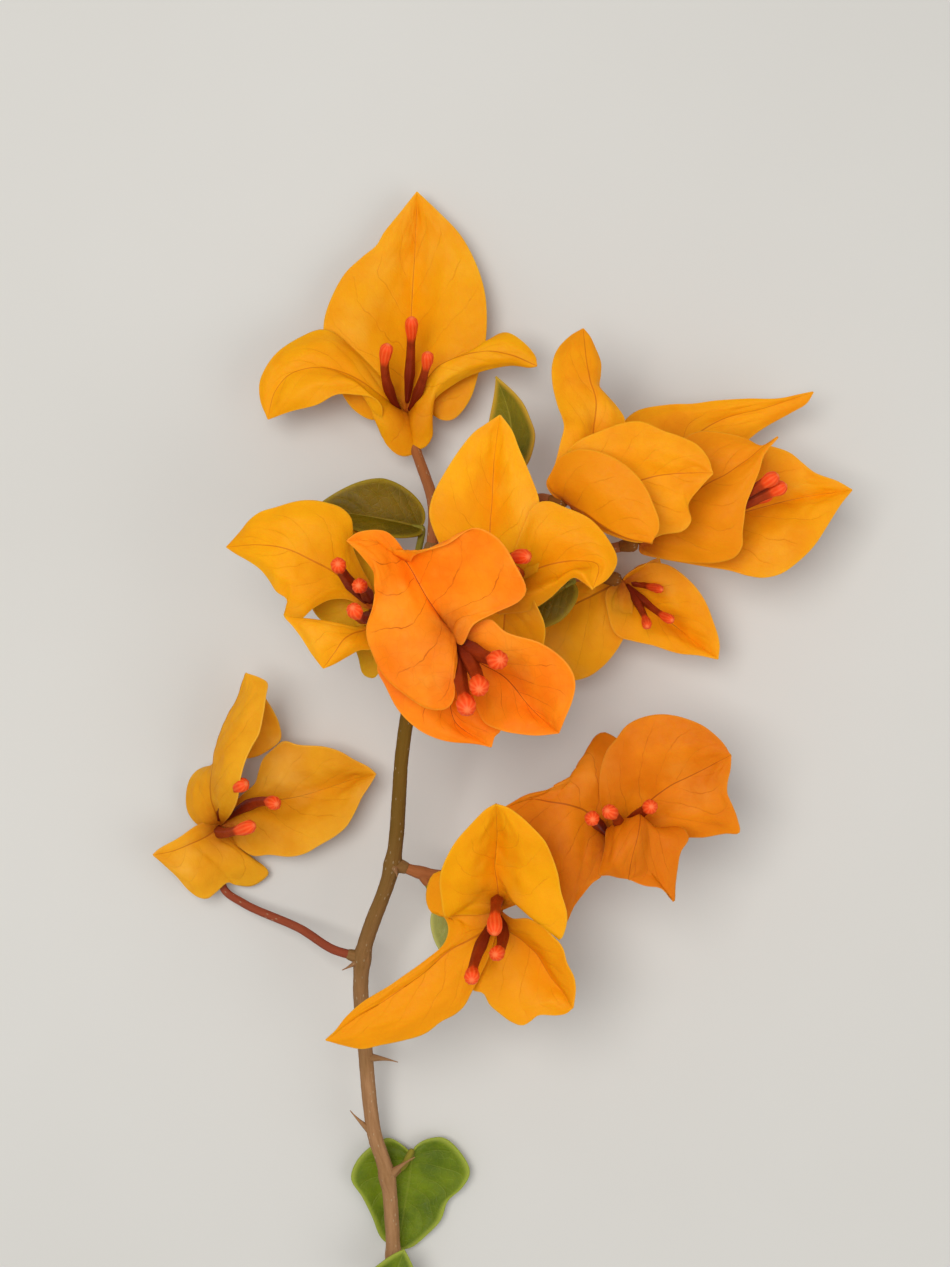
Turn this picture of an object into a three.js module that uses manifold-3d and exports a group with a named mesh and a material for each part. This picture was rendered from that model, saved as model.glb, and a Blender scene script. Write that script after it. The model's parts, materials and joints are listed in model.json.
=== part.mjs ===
// A cut flowering branch of bougainvillea, laid down with its blooms upward.
// Sizes are in millimetres. X runs to the right, Y along the branch to its blooms, Z upward.
// The drawing is made about a point below the bloom heads and is moved at the end,
// so that the middle of its outline on the ground is the origin.
import * as THREE from "three";
import { mergeVertices } from "three/addons/utils/BufferGeometryUtils.js";
import Module from "manifold-3d";

const wasm = await Module();
wasm.setup();

// Sizes shared by the whole branch
const CLEARANCE = 0.3;
const SMALLEST_EDGE = 0.02;
const BRACT_THICKNESS = 0.45;
const LEAF_THICKNESS = 0.5;
const TIP_HALF_WIDTH = 0.4;
const BRACT_CELLS_ALONG = 8;
const BRACT_CELLS_ACROSS = 4;
const LEAF_CELLS_ALONG = 8;
const LEAF_CELLS_ACROSS = 4;
const LIMB_SIDES = 10;
const STALK_SIDES = 6;
const FLOWER_SIDES = 5;

// Outline of a bract: where it is widest, how it tapers to its tip, how far its ears reach back
const BRACT_WIDEST = 0.38;
const BRACT_TAPER = 1.7;
const BRACT_EAR = 0.17;
const BRACT_FOOT = 0;
const EAR_POWER = 1.5;
const EAR_FADE = 6;
const BRACT_FOLD = 8;
const BRACT_CURL = 16;

// Outline of a foliage leaf
const LEAF_WIDEST = 0.4;
const LEAF_TAPER = 1.6;
const LEAF_EAR = 0.1;
const LEAF_FOLD = 6;
const LEAF_CURL = 10;

// One closed flower tube: share of its length and radius there
const FLOWER_PROFILE = [
  [0.0, 0.7],
  [0.22, 1.1],
  [0.5, 0.8],
  [0.7, 0.85],
  [0.83, 1.45],
  [0.94, 1.3],
  [1.0, 0.6],
];
const FLOWER_FOOT = 0.16;
const FLOWER_RISE = 4;

// The seat behind a bloom, where its bracts and its stalk meet
const SEAT_RADIUS = 1.7;
const SEAT_FRONT_RADIUS = 1.1;
const SEAT_LENGTH = 3.2;
const SEAT_END_RADIUS = 0.85;

// Limbs: the straight length at each end, the collar on the older limb, and the thorns
const LEAD = 2.2;
const COLLAR_LENGTH = 1.3;
const COLLAR_FLARE = 1.35;
const COLLAR_END = 1.1;
const PETIOLE_RADII = [0.6, 0.5];
const THORN_RADII = [0.75, 0.35, 0.12];

const DEGREE = Math.PI / 180;

const v3 = (p) => new THREE.Vector3(p[0], p[1], p[2]);

// Moves a point along a direction
function along(point, direction, distance) {
  return point.clone().addScaledVector(direction, distance);
}

// Turns an indexed closed surface into a solid ready for joining
function solidOf(geometry) {
  geometry.deleteAttribute("normal");
  geometry.deleteAttribute("uv");
  const merged = mergeVertices(geometry, 1e-4);
  return new wasm.Manifold(new wasm.Mesh({
    numProp: 3,
    vertProperties: new Float32Array(merged.attributes.position.array),
    triVerts: new Uint32Array(merged.index.array),
  }));
}

// Turns a solid back into a surface
function geometryOf(solid) {
  const mesh = solid.getMesh();
  const geometry = new THREE.BufferGeometry();
  geometry.setAttribute("position", new THREE.BufferAttribute(new Float32Array(mesh.vertProperties), 3));
  geometry.setIndex(new THREE.BufferAttribute(new Uint32Array(mesh.triVerts), 1));
  return geometry;
}

// Joins surfaces into one solid and keeps its largest body
function joined(geometries) {
  let whole = solidOf(geometries[0]);
  for (const geometry of geometries.slice(1)) {
    whole = whole.add(solidOf(geometry));
  }
  const bodies = whole.decompose();
  const largest = bodies.reduce((best, body) => (body.volume() > best.volume() ? body : best));
  return geometryOf(largest.asOriginal().simplify(SMALLEST_EDGE));
}

// Closed surface from rings of equal count, with a flat fan at each end
function ringedGeometry(rings) {
  const sides = rings[0].length;
  const positions = rings.flat().flatMap((p) => [p.x, p.y, p.z]);
  const triangles = [];
  for (let i = 0; i < rings.length - 1; i += 1) {
    for (let j = 0; j < sides; j += 1) {
      const a = i * sides + j;
      const b = i * sides + ((j + 1) % sides);
      triangles.push(a, b, a + sides, b, b + sides, a + sides);
    }
  }
  const last = (rings.length - 1) * sides;
  for (let j = 1; j < sides - 1; j += 1) {
    triangles.push(0, j + 1, j);
    triangles.push(last, last + j, last + j + 1);
  }
  const geometry = new THREE.BufferGeometry();
  geometry.setAttribute("position", new THREE.Float32BufferAttribute(positions, 3));
  geometry.setIndex(triangles);
  return geometry;
}

// A round limb along a smooth curve through the given points, with a radius at each point
function limbGeometry(points, radii, sides, stepsPerSpan) {
  const curve = new THREE.CatmullRomCurve3(points, false, "centripetal");
  const spans = points.length - 1;
  const steps = spans * stepsPerSpan;
  const rings = [];
  let across = null;
  for (let i = 0; i <= steps; i += 1) {
    const t = i / steps;
    const centre = curve.getPoint(t);
    const forward = curve.getTangent(t).normalize();
    if (across === null) {
      const guide = Math.abs(forward.z) > 0.9 ? new THREE.Vector3(1, 0, 0) : new THREE.Vector3(0, 0, 1);
      across = guide.cross(forward).normalize();
    } else {
      across.addScaledVector(forward, -across.dot(forward)).normalize();
    }
    const up = forward.clone().cross(across);
    const place = t * spans;
    const k = Math.min(Math.floor(place), spans - 1);
    const radius = THREE.MathUtils.lerp(radii[k], radii[k + 1], place - k);
    const ring = [];
    for (let j = 0; j < sides; j += 1) {
      const angle = (j / sides) * Math.PI * 2;
      ring.push(centre.clone()
        .addScaledVector(across, radius * Math.cos(angle))
        .addScaledVector(up, radius * Math.sin(angle)));
    }
    rings.push(ring);
  }
  return ringedGeometry(rings);
}

// Share of the full width at a place along a blade, from its base at 0 to its tip at 1:
// a quarter of an ellipse up to the widest place, then a taper to the tip
function outlineShare(u, widest, taper) {
  if (u < widest) {
    return Math.sqrt(1 - (1 - u / widest) ** 2);
  }
  return 1 - ((u - widest) / (1 - widest)) ** taper;
}

// The middle line of a blade: a cubic curve from its base to its tip, pushed aside by its belly
function midrib(base, tip, belly, u) {
  const chord = tip.clone().sub(base);
  const first = along(base, chord, 1 / 3).add(belly[0]);
  const second = along(base, chord, 2 / 3).add(belly[1]);
  const curve = new THREE.CubicBezierCurve3(base, first, second, tip);
  return { point: curve.getPoint(u), forward: curve.getTangent(u).normalize() };
}

// One point of a blade's middle surface; v runs from -1 at one margin to 1 at the other
function bladePoint(blade, u, v) {
  const h = v < 0 ? 0 : 1;
  const { point, forward } = midrib(blade.base, blade.tip, blade.belly, u);
  const chord = blade.tip.clone().sub(blade.base);
  const length = chord.length();
  const side = chord.normalize().cross(blade.face).normalize();
  side.addScaledVector(forward, -side.dot(forward)).normalize();
  side.applyAxisAngle(forward, blade.twist * DEGREE * (u - 0.5));
  const normal = side.clone().cross(forward);
  const bare = Math.max((u - blade.foot) / (1 - blade.foot), 0);
  const share = outlineShare(bare, blade.widest[h], blade.taper[h]);
  const half = Math.max(blade.halves[h] * share, TIP_HALF_WIDTH);
  const reach = Math.abs(v);
  const fold = blade.fold[h] * DEGREE;
  const curl = blade.curl[h] * DEGREE + 1e-4;
  const outward = (half / curl) * (Math.sin(fold + curl * reach) - Math.sin(fold));
  const lift = (half / curl) * (Math.cos(fold) - Math.cos(fold + curl * reach));
  const wave = blade.ruffle * half * reach * reach * Math.sin(Math.PI * (3 * u + 0.4 + 0.7 * h));
  const ear = blade.ear[h] * length * reach ** EAR_POWER * (1 - bare) ** EAR_FADE * Math.sqrt(share);
  return point
    .addScaledVector(side, Math.sign(v) * outward)
    .addScaledVector(normal, lift + wave)
    .addScaledVector(forward, -ear);
}

// A thin closed blade: its middle surface moved half a thickness to each side
function bladeGeometry(blade, thickness, cellsAlong, cellsAcross) {
  const step = 1e-3;
  const front = [];
  const back = [];
  for (let i = 0; i <= cellsAlong; i += 1) {
    const u = (1 - Math.cos((Math.PI * i) / cellsAlong)) / 2;
    for (let j = 0; j <= cellsAcross; j += 1) {
      const v = (2 * j) / cellsAcross - 1;
      const here = bladePoint(blade, u, v);
      const u0 = Math.max(u - step, 0);
      const u1 = Math.min(u + step, 1);
      const down = bladePoint(blade, u1, v).sub(bladePoint(blade, u0, v));
      const v0 = Math.max(v - step, -1);
      const v1 = Math.min(v + step, 1);
      const wide = bladePoint(blade, u, v1).sub(bladePoint(blade, u, v0));
      const normal = wide.cross(down).normalize();
      front.push(along(here, normal, thickness / 2));
      back.push(along(here, normal, -thickness / 2));
    }
  }
  const count = front.length;
  const row = cellsAcross + 1;
  const triangles = [];
  for (let i = 0; i < cellsAlong; i += 1) {
    for (let j = 0; j < cellsAcross; j += 1) {
      const a = i * row + j;
      const c = a + row;
      triangles.push(a, a + 1, c, a + 1, c + 1, c);
      triangles.push(count + a, count + c, count + a + 1, count + a + 1, count + c, count + c + 1);
    }
  }
  const rim = [];
  for (let j = 0; j < cellsAcross; j += 1) rim.push(j);
  for (let i = 0; i < cellsAlong; i += 1) rim.push(i * row + cellsAcross);
  for (let j = cellsAcross; j > 0; j -= 1) rim.push(cellsAlong * row + j);
  for (let i = cellsAlong; i > 0; i -= 1) rim.push(i * row);
  rim.forEach((a, k) => {
    const b = rim[(k + 1) % rim.length];
    triangles.push(a, count + a, b, b, count + a, count + b);
  });
  const geometry = new THREE.BufferGeometry();
  geometry.setAttribute("position", new THREE.Float32BufferAttribute(
    [...front, ...back].flatMap((p) => [p.x, p.y, p.z]), 3));
  geometry.setIndex(triangles);
  return geometry;
}

// A pair of numbers, one for each half of a blade, from one number or two
const pair = (value) => (Array.isArray(value) ? value : [value, value]);

// Completes the sizes of one bract, which are given from the middle of its bloom
function bractOf(bloom, bract) {
  const centre = v3(bloom.at);
  const belly = v3(bract.belly ?? [0, 0, 0]);
  const outer = v3(bract.bellyTip ?? bract.belly ?? [0, 0, 0]);
  return {
    base: centre,
    tip: centre.clone().add(v3(bract.tip)),
    belly: [belly, outer],
    face: v3(bract.face),
    halves: bract.halves,
    foot: bract.foot ?? BRACT_FOOT,
    widest: pair(bract.widest ?? BRACT_WIDEST),
    taper: pair(bract.taper ?? BRACT_TAPER),
    fold: pair(bract.fold ?? BRACT_FOLD),
    curl: pair(bract.curl ?? BRACT_CURL),
    twist: bract.twist ?? 0,
    ruffle: bract.ruffle ?? 0.06,
    ear: pair(bract.ear ?? BRACT_EAR),
  };
}

// Completes the sizes of one leaf blade, which are given in the drawing
function leafOf(leaf) {
  const belly = v3(leaf.belly);
  return {
    base: v3(leaf.base),
    tip: v3(leaf.tip),
    belly: [belly, belly],
    face: v3(leaf.face),
    halves: leaf.halves,
    foot: 0,
    widest: pair(leaf.widest ?? LEAF_WIDEST),
    taper: pair(leaf.taper ?? LEAF_TAPER),
    fold: pair(leaf.fold ?? LEAF_FOLD),
    curl: pair(leaf.curl ?? LEAF_CURL),
    twist: 0,
    ruffle: 0.05,
    ear: pair(leaf.ear ?? LEAF_EAR),
  };
}

// One closed flower, rising from the midrib of its bract to its knob
function flowerGeometry(bloom, bract, top) {
  const { point, forward } = midrib(bract.base, bract.tip, bract.belly, FLOWER_FOOT);
  const end = v3(bloom.at).add(v3(top));
  const bend = along(point, forward, FLOWER_RISE).lerp(end, 0.35);
  const curve = new THREE.QuadraticBezierCurve3(point, bend, end);
  const points = FLOWER_PROFILE.map(([share]) => curve.getPoint(share));
  const radii = FLOWER_PROFILE.map(([, radius]) => radius);
  return limbGeometry(points, radii, FLOWER_SIDES, 1);
}

// The seat of a bloom: a round knob drawn out towards its stalk
function seatGeometry(bloom) {
  const centre = v3(bloom.at);
  const back = v3(bloom.back).normalize();
  const points = [
    along(centre, back, -SEAT_RADIUS * 0.8),
    along(centre, back, 0.2),
    along(centre, back, SEAT_LENGTH),
  ];
  return limbGeometry(points, [SEAT_FRONT_RADIUS, SEAT_RADIUS, SEAT_END_RADIUS], STALK_SIDES, 1);
}

// Where the stalk of a bloom starts: just behind the seat
function seatEnd(bloom) {
  return along(v3(bloom.at), v3(bloom.back).normalize(), SEAT_LENGTH + CLEARANCE);
}

// A bloom: its bracts, its flowers and its seat in one solid
function bloomGeometry(bloom) {
  const bracts = bloom.bracts.map((bract) => bractOf(bloom, bract));
  const blades = bracts.map((bract) => (
    bladeGeometry(bract, BRACT_THICKNESS, BRACT_CELLS_ALONG, BRACT_CELLS_ACROSS)));
  const flowers = bloom.flowers.map((flower) => flowerGeometry(bloom, bracts[flower.on], flower.top));
  return joined([seatGeometry(bloom), ...blades, ...flowers]);
}

// The blooms: the middle where the bracts meet, the way to the stalk, and the bracts and flowers
// measured from that middle. Each bract has its tip, the push of its belly and the way it faces.
const BLOOMS = {
  bloom_top: {
    at: [-15.4, 53, 5.9],
    back: [0.25, -0.93, 0.15],
    bracts: [
      {
        tip: [1.7, 37.5, -1], belly: [-1, 0, -3.5], bellyTip: [1, 0, -3.5], face: [0, -0.1, 1],
        halves: [14, 14.5],
      },
      {
        tip: [-23.2, -0.7, 4], belly: [-1, 5, 3], bellyTip: [-1, 5, 5], face: [0.1, 0.7, 0.7],
        halves: [8, 12.5], taper: [1.7, 2.4], fold: [28, 5], curl: [10, 10], ear: [0.5, 0.2],
      },
      {
        tip: [21.8, 7.5, 8], belly: [-1, 7, 2], bellyTip: [-1, 7, 2], face: [-0.1, 0.98, 0.1],
        halves: [10, 9], fold: [10, -20], curl: 0, twist: 45, ear: [0.2, 0.5],
      },
    ],
    flowers: [
      { on: 0, top: [1.2, 14.5, 8] },
      { on: 1, top: [-2.5, 10, 10] },
      { on: 2, top: [3.9, 8.7, 10] },
    ],
  },
  bloom_left: {
    at: [-19.8, 20.4, 32],
    back: [0.5, -0.2, -0.8],
    bracts: [
      {
        tip: [-22.4, 9.5, -2], belly: [0, 4.4, 4], face: [0.1, -0.1, 0.95], halves: [9, 10.5],
        widest: [0.3, 0.5], taper: [1.1, 2.3], ear: [0, -0.35],
      },
      {
        tip: [-6.9, -9.1, 7], belly: [-4, 2, 7], bellyTip: [-4, 1, 8], face: [0.2, 0.5, 0.8],
        halves: [8, 6.5], foot: 0.3, taper: [1.7, 0.9],
      },
      { tip: [-6, 4, -14], belly: [0, 0, 0], face: [-0.7, 0.5, 0.45], halves: [7.5, 7.5] },
    ],
    flowers: [
      { on: 0, top: [-4.5, 6.5, 11] },
      { on: 1, top: [-2.2, 0, 14] },
      { on: 2, top: [-1.4, 3.2, 12] },
    ],
  },
  bloom_centre: {
    at: [1, 23.5, 32],
    back: [-0.75, -0.25, -0.6],
    bracts: [
      {
        tip: [-1.5, 26, 2], belly: [-4, 0, -3], bellyTip: [-3, 0, -3], face: [0.1, -0.1, 0.98],
        halves: [9, 9.3], fold: 8, curl: 20,
      },
      {
        tip: [13, 0, 6], belly: [4, 6, -3], bellyTip: [7, 7, -1], face: [-0.1, 0.2, 0.9],
        halves: [9, 8.5], widest: 0.5, fold: 10, curl: [20, 40],
      },
      { tip: [-1, -16, -16], belly: [0, 0, 2], face: [0, 0.5, 0.8], halves: [7, 7] },
    ],
    flowers: [
      { on: 0, top: [3.1, 4.4, 11] },
      { on: 1, top: [1.7, 2.1, 13] },
      { on: 2, top: [0, 1, 10] },
    ],
  },
  bloom_front: {
    at: [-7.6, 16.7, 42],
    back: [-0.3, 0.3, -0.9],
    bracts: [
      {
        tip: [-15, 13.6, 3], belly: [0, 0, 5], bellyTip: [3, 0, 6], face: [0.1, -0.1, -0.97],
        halves: [11.8, 16.5], widest: [0.25, 0.2], taper: [0.95, 0.75], fold: -15, curl: -5,
        ear: [0.55, 0.6],
      },
      {
        tip: [16.5, -15, 2], belly: [0, 0, -4], bellyTip: [2, 0, -3], face: [0.1, 0.3, 0.95],
        halves: [8.3, 9.5], widest: 0.5, foot: 0.1,
      },
      {
        tip: [6, -17.5, -5], belly: [-7, 0, -4], bellyTip: [-5, -2, -4], face: [0.3, 0.3, 0.9],
        halves: [8, 8],
      },
    ],
    flowers: [
      { on: 1, top: [7.4, -4, 11] },
      { on: 1, top: [4.3, -8.3, 11] },
      { on: 2, top: [2.6, -11.3, 11] },
    ],
  },
  bloom_upper: {
    at: [10.6, 37, 28],
    back: [-0.8, 0.1, -0.5],
    bracts: [
      {
        tip: [2, 27.5, -6], belly: [1.5, 0, 3], bellyTip: [-0.5, 0, 2], face: [0.2, 0, 0.9],
        halves: [6.5, 7], fold: 25,
      },
      { tip: [22, 4, 4], belly: [1, 3.5, -2], face: [-0.1, -0.1, 0.95], halves: [9.5, 9.5] },
      {
        tip: [13, -6.5, 8], belly: [0, -1, 4], face: [0.3, 0.5, -0.8], halves: [8, 11.5],
        fold: [100, 5],
      },
    ],
    flowers: [
      { on: 1, top: [8, 2, 5] },
    ],
  },
  bloom_right: {
    at: [22.5, 31, 18],
    back: [-0.95, -0.15, -0.3],
    bracts: [
      {
        tip: [21, 16, 8], belly: [1, -1, 4], bellyTip: [0, -2, 4], face: [0.1, -0.1, -0.95],
        halves: [7.5, 12.5], widest: 0.5, foot: 0.1,
      },
      {
        tip: [34, 8.5, -2], belly: [0, -0.5, -3], face: [-0.1, 0.1, 0.95], halves: [10, 11.2],
        widest: 0.62, foot: 0.15,
      },
      {
        tip: [29, 24.5, -8], belly: [-9, 10, 0], bellyTip: [-7, 4.5, 0],
        face: [0.3, -0.6, 0.6], halves: [7.5, 6],
      },
    ],
    flowers: [
      { on: 1, top: [20.8, 10, 5] },
      { on: 1, top: [22.4, 8.5, 3] },
      { on: 2, top: [20, 11.5, 0] },
    ],
  },
  bloom_lower_right: {
    at: [20.4, 25.3, 10.2],
    back: [-0.95, 0.1, -0.2],
    bracts: [
      { tip: [15.5, -12.7, 0], belly: [1, 0, -3], face: [-0.1, 0.1, 0.9], halves: [7.2, 7.2] },
      {
        tip: [-15, -13.5, -5], belly: [2, -2, 1], face: [0, 0.2, -0.95], halves: [8, 8.5],
        fold: [70, 8],
      },
      { tip: [5.4, -1, -10], belly: [0, 0, 0], face: [-0.5, 0.5, 0.5], halves: [6, 6] },
    ],
    flowers: [
      { on: 0, top: [7.6, -6.7, 6] },
      { on: 0, top: [3.4, -7.7, 7] },
      { on: 2, top: [6, -1.7, 5] },
    ],
  },
  bloom_far_left: {
    at: [-46.3, -15.6, 2.95],
    back: [0.15, -0.95, -0.2],
    bracts: [
      {
        tip: [7.5, 23, 5], belly: [0, 1, 4], face: [0.95, -0.2, 0.2], halves: [8.5, 9],
        widest: [0.32, 0.5], taper: [1.05, 1.7], fold: [-40, 10], curl: [0, 20], ear: 0.04,
      },
      { tip: [25.5, 9, 4], belly: [0, 1, -3], face: [-0.1, 0, 0.95], halves: [9.5, 9.5], ear: 0.08 },
      {
        tip: [-10.5, -5, 8], belly: [-1, -2, 4], face: [0.2, 0, 1], halves: [9.5, 9],
        fold: [-5, 60], ear: 0.4,
      },
    ],
    flowers: [
      { on: 0, top: [5.4, 7.8, 12] },
      { on: 1, top: [10.3, 4.4, 12] },
      { on: 2, top: [6.7, 1.1, 12] },
    ],
  },
  bloom_low: {
    at: [0, -27, 26],
    back: [-0.45, 0.2, -0.85],
    bracts: [
      {
        tip: [-0.7, 17.8, 11], belly: [0, 0, -4], face: [0, -0.4, 0.85], halves: [9.8, 10.8],
        ear: [0.35, 0.6],
      },
      {
        tip: [-27, -20.4, 0], belly: [1, -4, 3], bellyTip: [2, -3, 3], face: [0.4, -0.5, 0.75],
        halves: [8, 9], foot: 0.1,
      },
      {
        tip: [11.5, -15, 2], belly: [1, 1, -3], face: [0, 0, 1], halves: [9, 14],
        taper: [1.7, 2.2], fold: [50, -5], foot: 0.1,
      },
    ],
    flowers: [
      { on: 0, top: [-1, -0.4, 13] },
      { on: 1, top: [-4.4, -9, 12] },
      { on: 2, top: [-0.9, -4.9, 13] },
    ],
  },
  bloom_low_right: {
    at: [18, -16.5, 20],
    back: [-0.6, 0, -0.8],
    bracts: [
      {
        tip: [18.3, 14, 6], belly: [0, 5, -3], face: [-0.1, -0.1, 0.97], halves: [12, 14.5],
        widest: 0.5,
      },
      {
        tip: [-16.6, 6, -2], belly: [1, -1, 3], bellyTip: [2, -2, 3], face: [0.1, -0.1, 0.95],
        halves: [12, 9], ear: 0.3,
      },
      {
        tip: [9, -9, 6], belly: [2, 6, 12], bellyTip: [0, 2, 10], face: [0.1, 0.5, 0.8],
        halves: [6.5, 9],
      },
    ],
    flowers: [
      { on: 0, top: [5.2, 6.4, 13] },
      { on: 1, top: [-3.8, 4.4, 13] },
      { on: 2, top: [-1.8, 6, 15] },
    ],
  },
};

// The limbs. The main stem is given by its points; every other limb starts at a node of an older
// one, leaves it in a direction, bends through its points and ends at the seat of its bloom.
const LIMBS = {
  main_stem: {
    through: [
      [-16.8, -101.3, 1.55],
      [-17.5, -88, 3.6],
      [-17.9, -74, 5.6],
      [-20.6, -66.5, 6.6],
      [-21.9, -53.5, 8.4],
      [-22.3, -36.6, 12],
      [-17.2, -20.6, 17],
      [-15.4, -2, 22],
      [-12.8, 14, 25],
      [-11.4, 21.5, 25.2],
      [-10.8, 28.5, 24.6],
    ],
    radii: [1.65, 1.6, 1.75, 1.5, 1.5, 1.8, 1.6, 1.3, 1.3, 1.25, 1.1],
    thorns: [
      { node: 3, toward: [-0.9, 0.5, 0.3], length: 4.2 },
      { node: 2, toward: [0.75, 0.75, 0.3], length: 5 },
      { node: 4, toward: [0.95, 0.05, 0.4], length: 4.6 },
      { node: 5, toward: [-0.8, -0.5, 0.4], length: 2.6 },
      { node: 6, toward: [0.35, -0.5, 0.9], length: 2.4 },
    ],
  },
  stalk_far_left: {
    from: "main_stem",
    node: 5,
    toward: [-0.95, 0.3, 0.05],
    bend: [[-32, -32.5, 9], [-41.5, -28.3, 3.4]],
    radii: [0.9, 0.8],
    bloom: "bloom_far_left",
  },
  branch_right: {
    from: "main_stem",
    node: 6,
    toward: [0.92, -0.3, -0.1],
    bend: [[-8.5, -22.6, 15.5], [-1, -22.5, 14.5], [8, -18.5, 13.5]],
    radii: [1.05, 0.85],
    bloom: "bloom_low_right",
  },
  stalk_low: {
    from: "branch_right",
    node: 3,
    toward: [0.1, -0.45, 0.9],
    bend: [],
    radii: [0.85, 0.8],
    bloom: "bloom_low",
  },
  stalk_left: {
    from: "main_stem",
    node: 8,
    toward: [-0.75, 0.55, 0.1],
    bend: [],
    radii: [0.85, 0.8],
    bloom: "bloom_left",
  },
  stalk_front: {
    from: "main_stem",
    node: 8,
    toward: [0.15, -0.1, 1],
    bend: [],
    radii: [0.85, 0.8],
    bloom: "bloom_front",
  },
  stalk_centre: {
    from: "main_stem",
    node: 9,
    toward: [0.8, -0.1, 0.35],
    bend: [],
    radii: [0.85, 0.8],
    bloom: "bloom_centre",
  },
  stalk_top: {
    from: "main_stem",
    node: 10,
    toward: [0.08, 1, -0.1],
    bend: [[-10.9, 38.5, 17]],
    radii: [0.95, 0.85],
    bloom: "bloom_top",
  },
  branch_upper_right: {
    from: "main_stem",
    node: 9,
    toward: [0.6, 0.35, -0.7],
    bend: [[-4.5, 25.8, 20], [3.5, 29.6, 18.4], [10, 31.2, 17.2]],
    radii: [1.0, 0.85],
    bloom: "bloom_right",
  },
  stalk_upper: {
    from: "branch_upper_right",
    node: 2,
    toward: [0.35, 0.8, 0.5],
    bend: [],
    radii: [0.85, 0.8],
    bloom: "bloom_upper",
  },
  stalk_lower_right: {
    from: "branch_upper_right",
    node: 3,
    toward: [0.35, -0.75, -0.55],
    bend: [],
    radii: [0.85, 0.8],
    bloom: "bloom_lower_right",
  },
};

// The foliage leaves: where the petiole leaves its limb, and the blade from its base to its tip
const LEAVES = {
  leaf_bottom: {
    from: "main_stem",
    node: 2,
    toward: [0.8, 0.5, -0.35],
    base: [-14.6, -70.8, 2.8],
    tip: [-17, -91.5, 0.85],
    belly: [0.8, 0, 0],
    face: [0, 0, 1],
    halves: [10, 9.6],
    widest: 0.2,
    taper: [1.3, 0.9],
    ear: 0.12,
    fold: 2,
    curl: 5,
  },
  leaf_end: {
    from: "main_stem",
    node: 1,
    toward: [-0.35, -0.25, 0.9],
    base: [-18.6, -93.6, 7.4],
    tip: [-12.4, -84.5, 8.2],
    belly: [0, 0, 0.8],
    face: [0.1, -0.1, 1],
    halves: [4.2, 4.2],
  },
  leaf_pale: {
    from: "branch_right",
    node: 1,
    toward: [0.45, -0.85, -0.2],
    base: [-10.8, -28.4, 14],
    tip: [-4, -40, 13],
    belly: [0, 0, 0.6],
    face: [0, 0, 1],
    halves: [4.6, 4.6],
  },
  leaf_olive: {
    from: "main_stem",
    node: 9,
    toward: [-0.75, 0.6, -0.4],
    base: [-12.8, 33.4, 19.8],
    tip: [-30, 36.2, 20],
    belly: [0, 0.5, 1],
    face: [0, 0.1, 1],
    halves: [5, 6.4],
    fold: [45, 8],
  },
  leaf_behind: {
    from: "branch_upper_right",
    node: 1,
    toward: [0.2, 0.9, -0.2],
    base: [1.2, 42.4, 18.5],
    tip: [-0.6, 57.4, 21],
    belly: [2.2, 0, -0.6],
    face: [-0.6, 0, 0.8],
    halves: [4.4, 5.2],
  },
  leaf_dark: {
    from: "branch_upper_right",
    node: 3,
    toward: [0.55, -0.75, 0.35],
    base: [11.4, 24.6, 20],
    tip: [1, 17, 19.5],
    belly: [0, 0, 0.8],
    face: [0, 0, 1],
    halves: [4, 5.6],
  },
};

// Colours of the parts
const FINISHES = {
  bract: { color: 0xf0a010, roughness: 0.62, metalness: 0 },
  stem: { color: 0x9a7850, roughness: 0.85, metalness: 0 },
  leaf: { color: 0x5f7a14, roughness: 0.6, metalness: 0 },
};

const branch = new THREE.Group();

// Puts one named part on the branch
function place(name, geometry, finish) {
  const mesh = new THREE.Mesh(geometry, new THREE.MeshStandardMaterial(FINISHES[finish]));
  mesh.name = name;
  branch.add(mesh);
}

// The points and radii of a limb, found once for each limb
const lines = new Map();

// Radius of a line at one of its nodes
function radiusAt(line, node) {
  if (line.radii.length === line.points.length) {
    return line.radii[node];
  }
  return THREE.MathUtils.lerp(line.radii[0], line.radii[1], node / (line.points.length - 1));
}

// The flat end of the collar that a younger limb grows from
function collarEnd(shoot) {
  const parent = lines.get(shoot.from);
  const toward = v3(shoot.toward).normalize();
  return along(parent.points[shoot.node], toward, radiusAt(parent, shoot.node) + COLLAR_LENGTH);
}

// A collar: a short cone from inside the older limb to its flat end
function collarGeometry(shoot, radius) {
  const points = [lines.get(shoot.from).points[shoot.node], collarEnd(shoot)];
  return limbGeometry(points, [radius * COLLAR_FLARE, radius * COLLAR_END], STALK_SIDES, 1);
}

// The first two points of a younger limb, straight out of its collar
function firstPoints(shoot) {
  const toward = v3(shoot.toward).normalize();
  const start = along(collarEnd(shoot), toward, CLEARANCE);
  return [start, along(start, toward, LEAD)];
}

// A thorn: a thin cone that bends a little towards its tip
function thornGeometry(line, thorn) {
  const root = line.points[thorn.node];
  const toward = v3(thorn.toward).normalize();
  const reach = radiusAt(line, thorn.node) + thorn.length;
  const points = [root, along(root, toward, reach * 0.6), along(root, toward, reach).add(v3([0, 0, 0.3]))];
  return limbGeometry(points, THORN_RADII, FLOWER_SIDES, 1);
}

for (const [name, limb] of Object.entries(LIMBS)) {
  let points;
  if (limb.through) {
    points = limb.through.map(v3);
  } else {
    const end = seatEnd(BLOOMS[limb.bloom]);
    const back = v3(BLOOMS[limb.bloom].back).normalize();
    points = [...firstPoints(limb), ...limb.bend.map(v3), along(end, back, LEAD), end];
  }
  lines.set(name, { points, radii: limb.radii });
}

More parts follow.
